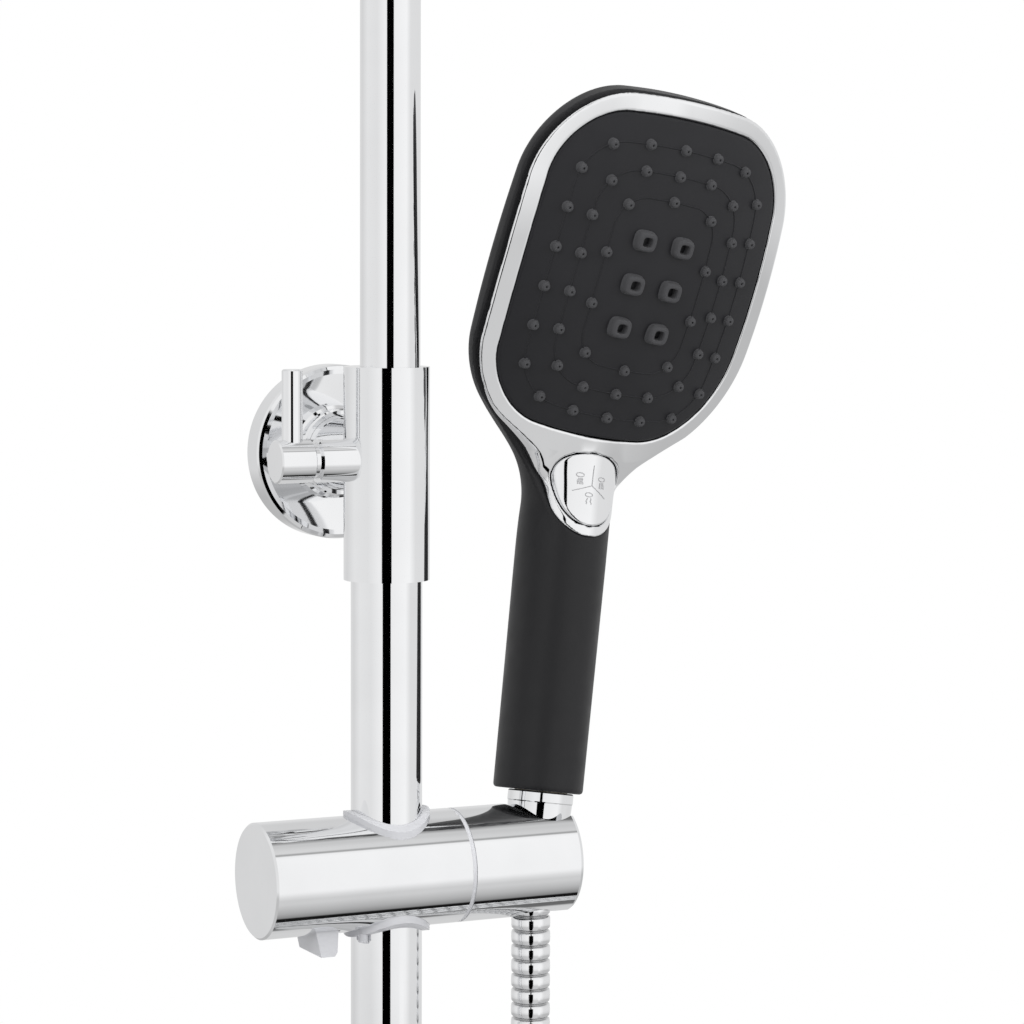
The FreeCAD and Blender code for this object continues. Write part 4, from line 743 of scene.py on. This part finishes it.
def spline_line(points):
    """Points along the NURBS spline that has the route as its control points."""
    curve = bpy.data.curves.new("hose_route", "CURVE")
    curve.dimensions = "3D"
    spline = curve.splines.new("NURBS")
    spline.points.add(len(points) - 1)
    spline.points.foreach_set("co", np.hstack([points, np.ones((len(points), 1))]).ravel())
    spline.order_u = 3
    spline.use_endpoint_u = True
    spline.resolution_u = 16
    holder = bpy.data.objects.new("hose_route", curve)
    bpy.context.scene.collection.objects.link(holder)
    bpy.context.view_layer.update()
    mesh = bpy.data.meshes.new_from_object(holder)
    line = np.empty(len(mesh.vertices) * 3)
    mesh.vertices.foreach_get("co", line)
    bpy.data.objects.remove(holder)
    bpy.data.meshes.remove(mesh)
    bpy.data.curves.remove(curve)
    return line.reshape(-1, 3)


class SHOWER_OT_hose(bpy.types.Operator):
    """Makes the wound metal hose along its route"""

    bl_idname = "shower.hose"
    bl_label = "Metal Hose"

    def execute(self, context):
        sizes = context.scene.shower_hose
        line = spline_line(hose_route())
        step = np.linalg.norm(np.diff(line, axis=0), axis=1)
        keep = np.concatenate([[True], step > 1e-7])
        line = line[keep]
        run = np.concatenate([[0.0], np.cumsum(np.linalg.norm(np.diff(line, axis=0), axis=1))])
        ribs = int(run[-1] / sizes.pitch)
        phase = np.array([0.0, 0.05, 0.075, 0.12, 0.25, 0.6, 0.83, 0.9, 0.94])
        fall = np.array([1.0, 1.0, 0.45, 0.12, 0.02, 0.0, 0.1, 0.4, 1.0])
        at = np.append(((np.arange(ribs)[:, None] + phase) / ribs).ravel(), 1.0) * run[-1]
        fall = np.append(np.tile(fall, ribs), 1.0)
        centre = np.stack([np.interp(at, run, line[:, axis]) for axis in range(3)], axis=-1)
        ahead = np.gradient(centre, at, axis=0)
        ahead /= np.linalg.norm(ahead, axis=1, keepdims=True)
        side = np.array([0.0, 1.0, 0.0]) - ahead * ahead[:, 1:2]
        side /= np.linalg.norm(side, axis=1, keepdims=True)
        up = np.cross(ahead, side)
        around = 2 * np.pi * np.arange(28) / 28
        radius = (sizes.radius - sizes.groove * fall)[:, None, None]
        ring = np.cos(around)[None, :, None] * side[:, None] + np.sin(around)[None, :, None] * up[:, None]
        points = centre[:, None] + radius * ring
        faces = tube_faces(*points.shape[:2])
        hose = mesh_piece("shower_hose", points, faces, bpy.data.materials["hose_chrome"])
        # Groove depth for each point, which the hose finish turns into painted shade.
        point_values(hose, "depth", np.repeat(fall, len(around)))
        outward(hose)
        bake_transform(hose)
        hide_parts("hose_drop", "hose_coil")
        return {"FINISHED"}


class SHOWER_OT_spray_face(bpy.types.Operator):
    """Makes the nozzles, centre jets and raised lines of the spray face"""

    bl_idname = "shower.spray_face"
    bl_label = "Spray Face"

    def execute(self, context):
        sizes = context.scene.shower_face
        rise = sizes.nozzle_rise / MM
        rubber = bpy.data.materials["nozzle_rubber"]
        places = np.vstack([loop_line(*loop) for loop in NOZZLE_LOOPS])
        around = 2 * np.pi * np.arange(18) / 18
        # Nozzle: a turned profile of a flat foot, a round knob and a pierced tip; the third column is painted
        # light and shade: 0 is painted shade on the foot, sides and mouth, 1 is the painted lit top.
        profile = np.array([
            (2.05, -1.8, 0.0), (2.05, 0.03, 0.0), (1.98, 0.06, 0.0), (1.86, 0.06, 0.0), (1.83, 0.2, 0.0),
            (1.82, 0.4, 0.1), (1.74, 0.6, 0.35), (1.55, 0.79, 0.8), (1.24, 0.92, 1.0), (0.84, 0.99, 1.0),
            (0.52, 1.0, 0.9), (0.42, 0.96, 0.1), (0.38, 0.6, 0.0), (0.01, 0.58, 0.0),
        ])
        radius, height = profile[:, 0], np.where(profile[:, 1] > 0, profile[:, 1] * rise, profile[:, 1])
        across = places[:, 0, None, None] + radius[None, :, None] * np.cos(around)
        up = places[:, 1, None, None] + radius[None, :, None] * np.sin(around)
        middle = dome_depth(places[:, 0], places[:, 1])[:, None, None]
        foot = (profile[:, 1] < 0.1)[None, :, None]
        level = height[None, :, None] - np.where(foot, dome_depth(across, up), middle)
        flat = np.stack([across, up, np.broadcast_to(level, across.shape)], axis=-1)
        points = handset_to_row(FACE_AT + flat @ FACE_TURN.T).reshape(len(places), -1, 3)
        nozzles = mesh_piece("spray_nozzle_tips", *copies(points, grid_faces(len(profile), 18)), rubber)
        # Painted light and shade for each point, which the nozzle finish reads.
        point_values(nozzles, "tone", np.tile(np.repeat(profile[:, 2], 18), len(places)))
        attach(outward(nozzles), "handset")
        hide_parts("spray_nozzles")

        # Centre jets: rounded squares that draw in to a soft rim round a sunk mouth.
        column, row = np.meshgrid([-0.5, 0.5], [-1.0, 0.0, 1.0])
        jets = np.stack([column.ravel(), row.ravel()], axis=-1) * JET_PITCH + [0.0, FACE_RISE]
        around = 2 * np.pi * np.arange(40) / 40
        square = (np.abs(np.cos(around)) ** 3.4 + np.abs(np.sin(around)) ** 3.4) ** (-1 / 3.4)
        # The third column is painted light and shade: 0 is painted shade in the sunk mouth and at the foot,
        # low values paint shade on the walls, 1 is the painted lit rim.
        profile = np.array([
            (1.04, -2.0, 0.0), (1.04, 0.1, 0.1), (1.0, 0.3, 0.15), (0.97, 1.4, 0.25), (0.93, 2.1, 0.35),
            (0.86, 2.6, 0.45), (0.78, 2.88, 0.7), (0.68, 3.0, 1.0), (0.56, 2.98, 1.0), (0.49, 2.86, 0.7),
            (0.46, 2.6, 0.2), (0.44, 1.6, 0.0), (0.42, -0.6, 0.0), (0.01, -0.7, 0.0),
        ])
        wide, tall = 4.2 * profile[:, 0, None], 3.7 * profile[:, 0, None]
        across = jets[:, 0, None, None] + (wide * square * np.cos(around))[None]
        up = jets[:, 1, None, None] + (tall * square * np.sin(around))[None]
        level = profile[None, :, 1, None] - dome_depth(jets[:, 0], jets[:, 1])[:, None, None]
        flat = np.stack([across, up, np.broadcast_to(level, across.shape)], axis=-1)
        points = handset_to_row(FACE_AT + flat @ FACE_TURN.T).reshape(len(jets), -1, 3)
        cups = mesh_piece("centre_jet_cups", *copies(points, grid_faces(len(profile), 40)), rubber)
        # Painted light and shade for each point, which the nozzle finish reads.
        point_values(cups, "tone", np.tile(np.repeat(profile[:, 2], 40), len(jets)))
        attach(outward(cups), "handset")
        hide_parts("jet_nozzles")

        # Raised lines: a low round profile carried along each loop, on the dome.
        count = 240
        lines = np.stack([loop_line(*loop[:2], count) for loop in NOZZLE_LOOPS])
        along = np.roll(lines, -1, axis=1) - np.roll(lines, 1, axis=1)
        along /= np.linalg.norm(along, axis=-1, keepdims=True)
        out = np.stack([along[..., 1], -along[..., 0]], axis=-1)
        shift = np.linspace(-0.5, 0.5, 7)
        low = -0.15
        height = np.cos(np.pi * shift) * (sizes.link_rise / MM - low) + low
        place = lines[:, :, None] + out[:, :, None] * (shift * sizes.link_width / MM)[None, None, :, None]
        points = on_face(place[..., 0], place[..., 1], height[None, None])
        faces = grid_faces(count, len(shift), close_rows=True, close_columns=False)
        points = points.reshape(len(lines), -1, 3)
        links = mesh_piece("nozzle_links", *copies(points, faces), bpy.data.materials["face_satin"])
        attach(outward(links), "handset")
        return {"FINISHED"}


class SHOWER_OT_hand_shower(bpy.types.Operator):
    """Makes the hand shower's housing, chrome frame, spray plate and mode button"""

    bl_idname = "shower.hand_shower"
    bl_label = "Hand Shower"

    def execute(self, context):
        step = context.scene.shower_body.grid / MM
        black, chrome = bpy.data.materials["soft_touch_black"], bpy.data.materials["polished_chrome"]
        points, faces = level_mesh(housing_field, (-58.0, -66.0, 22.0), (58.0, 22.0, 282.0), 2.0 * step)
        housing = mesh_piece("hand_shower_housing", handset_to_row(points), faces, black)
        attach(housing, "handset")
        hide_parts("handset_shell")

        points, faces = level_mesh(frame_field, (-57.0, -96.0, -24.0), (57.0, 71.0, 9.0), step)
        points = np.stack(from_face(*points.T), axis=-1)
        rim = mesh_piece("face_frame", handset_to_row(points), faces, chrome)
        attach(rim, "handset")
        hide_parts("handset_bezel")

        points, faces = level_mesh(plate_field, (-51.0, -62.0, -18.0), (51.0, 64.0, 2.0), 1.8 * step)
        points = np.stack(from_face(*points.T), axis=-1)
        plate = mesh_piece("spray_plate", handset_to_row(points), faces, bpy.data.materials["face_satin"])
        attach(plate, "handset")
        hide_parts("face_plate")

        points, faces = level_mesh(button_field, (-16.0, -94.0, -12.0), (16.0, -56.0, 9.0), step)
        points = np.stack(from_face(*points.T), axis=-1)
        button = mesh_piece("spray_button", handset_to_row(points), faces, chrome)
        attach(button, "mode_button")
        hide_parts("mode_button")
        return {"FINISHED"}


def strip(line, width):
    """Left and right border of a strip along a line of points in the plane."""
    along = np.gradient(line, axis=0)
    along /= np.linalg.norm(along, axis=1, keepdims=True)
    side = np.stack([-along[:, 1], along[:, 0]], axis=-1) * width / 2
    return np.stack([line - side, line + side], axis=1)


def button_front(x, s):
    """Places on the button's front, a hair over it, by the ellipse of the handle there."""
    low, high = np.full_like(x, -22.0), np.full_like(x, 0.0)
    for _ in range(30):
        middle = (low + high) / 2
        inside = handle_field(x, middle, s, 0.97) < 0
        low, high = np.where(inside, low, middle), np.where(inside, middle, high)
    return np.stack([x, high, s], axis=-1)


class SHOWER_OT_button_marks(bpy.types.Operator):
    """Makes the button's thin grey marks: three fields, each with a plain spray sign"""

    bl_idname = "shower.button_marks"
    bl_label = "Button Marks"

    def execute(self, context):
        share = np.linspace(0.0, 1.0, 12)[:, None]
        middle = np.array([-0.4, 134.2])
        lines = [middle + share * np.array(end) for end in ((0.5, 7.4), (-7.4, -2.6), (6.3, -4.0))]
        around = np.linspace(0.0, 2 * np.pi, 12)
        for place, rays in (((-5.2, 137.6), 4), ((3.9, 136.9), 3), ((-1.4, 130.8), 2)):
            ring = np.stack([1.5 * np.cos(around), 0.75 * np.sin(around)], axis=-1)
            lines.append(np.array(place) + ring)
            for shift in np.linspace(-1.0, 1.0, rays) * (rays > 1):
                wave = 0.18 * np.sin(3 * np.pi * share) * (rays != 3)
                ray = np.hstack([shift * (0.7 + 0.3 * share) + wave, -1.2 - 2.2 * share])
                lines.append(np.array(place) + ray)
        flat = np.stack([strip(line, 0.34) for line in lines]).reshape(len(lines), -1, 2)
        points = handset_to_row(button_front(flat[..., 0], flat[..., 1]))
        faces = grid_faces(12, 2, close_columns=False)[:, ::-1]
        marks = mesh_piece("button_marks", *copies(points, faces), bpy.data.materials["print_grey"])
        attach(marks, "mode_button")
        return {"FINISHED"}


class SHOWER_OT_clamp_spring(bpy.types.Operator):
    """Makes the clamp spring"""

    bl_idname = "shower.clamp_spring"
    bl_label = "Clamp Spring"

    def execute(self, context):
        low, high = (np.array(corner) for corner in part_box("shoe_spring"))
        middle = (low + high) / 2
        reach = (high[2] - low[2]) / 2 - SPRING_WIRE
        rows, columns = 24 * SPRING_TURNS + 1, 10
        turn = np.linspace(0.0, 2 * np.pi * SPRING_TURNS, rows)[:, None]
        around = np.linspace(0.0, 2 * np.pi, columns, endpoint=False)[None, :]
        radius = reach + SPRING_WIRE * np.cos(around)
        along = low[0] + SPRING_WIRE + (high[0] - low[0] - 2 * SPRING_WIRE) * turn / turn.max()
        points = np.stack([
            along + SPRING_WIRE * np.sin(around),
            middle[1] + radius * np.cos(turn),
            middle[2] + radius * np.sin(turn),
        ], axis=-1)
        faces = tube_faces(rows, columns)
        spring = outward(mesh_piece("clamp_spring", points, faces, bpy.data.materials["bright_steel"]))
        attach(spring, "slider")
        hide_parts("shoe_spring")
        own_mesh(spring)
        return {"FINISHED"}


class SHOWER_OT_finishes(bpy.types.Operator):
    """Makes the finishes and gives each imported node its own"""

    bl_idname = "shower.finishes"
    bl_label = "Finishes"

    def execute(self, context):
        colours = context.scene.shower_colours
        finishes = {
            "chrome": chrome_finish("polished_chrome", colours.chrome),
            "rubber": moulded_finish("seal_rubber", (0.02, 0.02, 0.021), 0.6, 2500.0, 0.00008),
            "steel": turned_finish("bright_steel", (0.55, 0.56, 0.57), 0.28),
            "brass": turned_finish("turned_brass", (0.3, 0.26, 0.19), 0.3),
            "pale_plastic": moulded_finish("pale_plastic", colours.pale, 0.32, 1800.0, 0.00003, 0.15),
            "black_plastic": moulded_finish(
                "soft_touch_black", colours.housing, 0.46, 3200.0, 0.00006, shine=0.34,
            ),
            "face_plastic": moulded_finish("face_satin", colours.plate, 0.42, 2600.0, 0.00004, shine=0.3),
            "nozzle_rubber": nozzle_finish("nozzle_rubber", colours.rubber),
            "hose_steel": hose_finish("hose_chrome", colours.chrome),
        }
        moulded_finish("print_grey", (0.42, 0.42, 0.43), 0.5, 2000.0, 0.00002)
        for row in frame["record"]["subparts"]:
            slots = frame["nodes"][row["node"]].data.materials
            slots.clear()
            slots.append(finishes[row["material_slot"]])
        return {"FINISHED"}


class SHOWER_OT_stage(bpy.types.Operator):
    """Sets the camera, studio light, white surround and floor"""

    bl_idname = "shower.stage"
    bl_label = "Studio"

    def execute(self, context):
        self.camera(context)
        self.surround(context)
        self.lamps(context)
        self.floor(context)
        return {"FINISHED"}

    def camera(self, context):
        """The camera stands to the left and a little above, and looks along the fitted direction."""
        data = bpy.data.cameras.new("camera")
        data.sensor_width = SENSOR
        data.lens = FOCAL_PIXELS / PICTURE_PIXELS * SENSOR
        data.clip_start = 0.05
        data.clip_end = 30.0
        camera = bpy.data.objects.new("camera", data)
        context.scene.collection.objects.link(camera)
        heading, pitch, roll = CAMERA_TURNS
        ahead = np.array([
            np.sin(heading) * np.cos(pitch), np.cos(heading) * np.cos(pitch), -np.sin(pitch),
        ])
        level = np.array([np.cos(heading), -np.sin(heading), 0.0])
        upright = np.cross(level, ahead)
        right = np.cos(roll) * level + np.sin(roll) * upright
        up = np.cos(roll) * upright - np.sin(roll) * level
        place = CAMERA_AIM - CAMERA_AWAY * ahead + CAMERA_RIGHT * right + CAMERA_UP * up
        matrix = np.eye(4)
        matrix[:3, :3] = np.stack([right, up, -ahead], axis=-1)
        matrix[:3, 3] = place * MM
        camera.matrix_world = Matrix(matrix.tolist())
        context.scene.camera = camera

    def surround(self, context):
        """White for the camera; for metal a light room with a dark card and bars; even light else."""
        world = bpy.data.worlds.new("studio")
        context.scene.world = world
        world.use_nodes = True
        make = Finish(world.node_tree)
        way = make.node("ShaderNodeTexCoord", output="Generated")
        x = make.node("ShaderNodeSeparateXYZ", inputs={0: way}, output=0)
        parts = x.socket.node.outputs
        y, z = Wire(make, parts[1]), Wire(make, parts[2])
        heading = make.node("ShaderNodeMath", {"operation": "ARCTAN2"}, {0: x, 1: -1.0 * y}) * (180 / np.pi)
        pitch = make.node("ShaderNodeMath", {"operation": "ARCTAN2"}, {0: z, 1: -1.0 * y}) * (180 / np.pi)
        walls = make.node("ShaderNodeValToRGB", {"stops": self.heading_stops()}, {0: heading / 360.0 + 0.5})
        levels = make.node("ShaderNodeValToRGB", {"stops": self.pitch_stops()}, {0: pitch / 360.0 + 0.5})
        wall_level = make.node("ShaderNodeRGBToBW", inputs={0: walls})
        pitch_level = make.node("ShaderNodeRGBToBW", inputs={0: levels})
        half = make.ramp(z, 0.09, 0.15, 13.0, 4.0)
        bare = make.ramp(abs(heading - CARD_HEADING) - half, -0.5, 0.5, 0.0, 1.0)
        steep = make.ramp(abs(z), 0.25, 0.5, 0.0, 1.0)
        bars = make.ramp(abs(x - BARS_AT), 0.08, 0.15, 1.0, 0.0)
        ground = make.ramp(z, -0.36, -0.2, 0.68, 1.0)
        room = wall_level * bare * (bars * (1.0 + (pitch_level - 1.0) * steep) + (1.0 - bars) * ground)
        light = make.node("ShaderNodeLightPath", output="Is Camera Ray")
        paths = light.socket.node.outputs
        glossy = Wire(make, paths["Is Glossy Ray"])
        level = light + (1.0 - light) * (glossy * room + (1.0 - glossy) * 0.55)
        shine = make.node("ShaderNodeBackground", inputs={"Color": (1.0, 1.0, 1.0, 1.0), "Strength": level})
        make.node("ShaderNodeOutputWorld", inputs={"Surface": shine})

    @staticmethod
    def heading_stops():
        """Room brightness by heading in degrees: 0 looks away from the wall, more is to the right."""
        degrees = [-180, -154, -120, -75, -45, -30, 0, 40, 60, 120, 178]
        levels = [0.75, 0.72, 0.85, 0.82, 0.93, 0.9, 0.95, 1.0, 0.8, 0.78, 0.75]
        return [(degree / 360 + 0.5, level) for degree, level in zip(degrees, levels)]

    @staticmethod
    def pitch_stops():
        """Room brightness by pitch in degrees: 0 is level and away from the wall, 90 is up, -90 is down."""
        degrees = [
            -180, -125, -110, -104, -82, -80, -73, -71, -60, -40, -25, -12, 4, 50, 55, 58, 62, 80, 88, 100,
            108, 125, 180,
        ]
        levels = [
            0.85, 0.9, 0.85, 0.2, 0.16, 0.01, 0.01, 0.3, 0.45, 0.68, 0.68, 0.93, 1.0, 1.0, 0.95, 0.3, 0.75,
            0.8, 0.25, 0.12, 0.7, 0.9, 0.85,
        ]
        return [(degree / 360 + 0.5, level) for degree, level in zip(degrees, levels)]

    def lamps(self, context):
        """Soft boxes: a key from the upper left, a fill from the right and a light from above."""
        for name, place, aim, size, power in (
            ("key_box", (-1.1, -1.2, 0.9), (0.05, -0.05, 0.0), 0.9, 14.0),
            ("fill_box", (1.2, -1.0, 0.4), (0.05, -0.05, 0.0), 0.9, 8.0),
            ("top_box", (0.1, -0.3, 1.5), (0.05, -0.05, 0.0), 0.8, 8.0),
        ):
            data = bpy.data.lights.new(name, "AREA")
            data.size = size
            data.energy = power
            lamp = bpy.data.objects.new(name, data)
            lamp.visible_glossy = False
            context.scene.collection.objects.link(lamp)
            place, aim = np.array(place), np.array(aim)
            back = (place - aim) / np.linalg.norm(place - aim)
            side = np.cross([0.0, 0.0, 1.0], back)
            side /= np.linalg.norm(side)
            matrix = np.eye(4)
            matrix[:3, :3] = np.stack([side, np.cross(back, side), back], axis=-1)
            matrix[:3, 3] = place
            lamp.matrix_world = Matrix(matrix.tolist())

    def floor(self, context):
        """A pale floor below the hose, white to the camera and to metal, that keeps some shadow."""
        across = np.linspace(-6.0, 6.0, 25)
        x, y = np.meshgrid(across, across, indexing="ij")
        points = np.stack([x, y, np.full_like(x, -0.62)], axis=-1)
        material, make = new_finish("pale_floor")
        patch = make.spread(make.spots(9.0), 0.0, 1.0)
        tint = make.blend(patch, (0.78, 0.78, 0.79, 1.0), (0.82, 0.82, 0.82, 1.0))
        matt = make.node("ShaderNodeBsdfDiffuse", inputs={"Color": tint})
        glow = make.node("ShaderNodeEmission", inputs={"Color": (1.0, 1.0, 1.0, 1.0), "Strength": 1.0})
        camera = make.node("ShaderNodeLightPath", output="Is Camera Ray")
        paths = camera.socket.node.outputs
        seen = camera + Wire(make, paths["Is Glossy Ray"]) + Wire(make, paths["Is Transmission Ray"])
        where = make.node("ShaderNodeTexCoord", output="Object")
        away = make.node("ShaderNodeVectorMath", {"operation": "LENGTH"}, {0: where}, output="Value")
        clear = make.ramp(away, 0.7, 1.6, 0.8, 1.0)
        both = make.node("ShaderNodeMixShader", inputs={0: seen * clear, 1: matt, 2: glow})
        make.node("ShaderNodeOutputMaterial", inputs={"Surface": both})
        faces = grid_faces(25, 25, close_columns=False)
        floor = mesh_piece("floor", points, faces, material)
        floor.visible_glossy = False


class SHOWER_PT_panel(bpy.types.Panel):
    """Lists the steps that dress the shower set"""

    bl_label = "Shower Set"
    bl_idname = "SHOWER_PT_panel"
    bl_space_type = "VIEW_3D"
    bl_region_type = "UI"
    bl_category = "Shower Set"

    def draw(self, context):
        for operator in OPERATORS:
            self.layout.operator(operator.bl_idname)
        for group in GROUPS:
            settings = getattr(context.scene, group)
            for key in settings.bl_rna.properties.keys():
                if key not in ("rna_type", "name"):
                    self.layout.prop(settings, key)


OPERATORS = (
    SHOWER_OT_finishes, SHOWER_OT_hose, SHOWER_OT_hand_shower, SHOWER_OT_button_marks, SHOWER_OT_spray_face,
    SHOWER_OT_clamp_spring, SHOWER_OT_stage,
)
GROUPS = {
    "shower_hose": HoseSizes, "shower_body": BodySizes, "shower_face": FaceSizes,
    "shower_colours": FinishColours,
}


def register():
    """Makes the operators, the panel and the settings known."""
    for item in (*GROUPS.values(), *OPERATORS, SHOWER_PT_panel):
        bpy.utils.register_class(item)
    for name, group in GROUPS.items():
        setattr(bpy.types.Scene, name, bpy.props.PointerProperty(type=group))


def unregister():
    """Takes them away again."""
    for name in GROUPS:
        delattr(bpy.types.Scene, name)
    for item in (SHOWER_PT_panel, *reversed(OPERATORS), *GROUPS.values()):
        bpy.utils.unregister_class(item)


def main():
    """Dresses the shower set, step by step."""
    register()
    bpy.context.scene.view_settings.view_transform = "Standard"
    bpy.ops.shower.finishes()
    bpy.ops.shower.hose()
    bpy.ops.shower.hand_shower()
    bpy.ops.shower.button_marks()
    bpy.ops.shower.spray_face()
    bpy.ops.shower.clamp_spring()
    bpy.ops.shower.stage()
    bpy.context.view_layer.update()


if __name__ == "__main__":
    main()
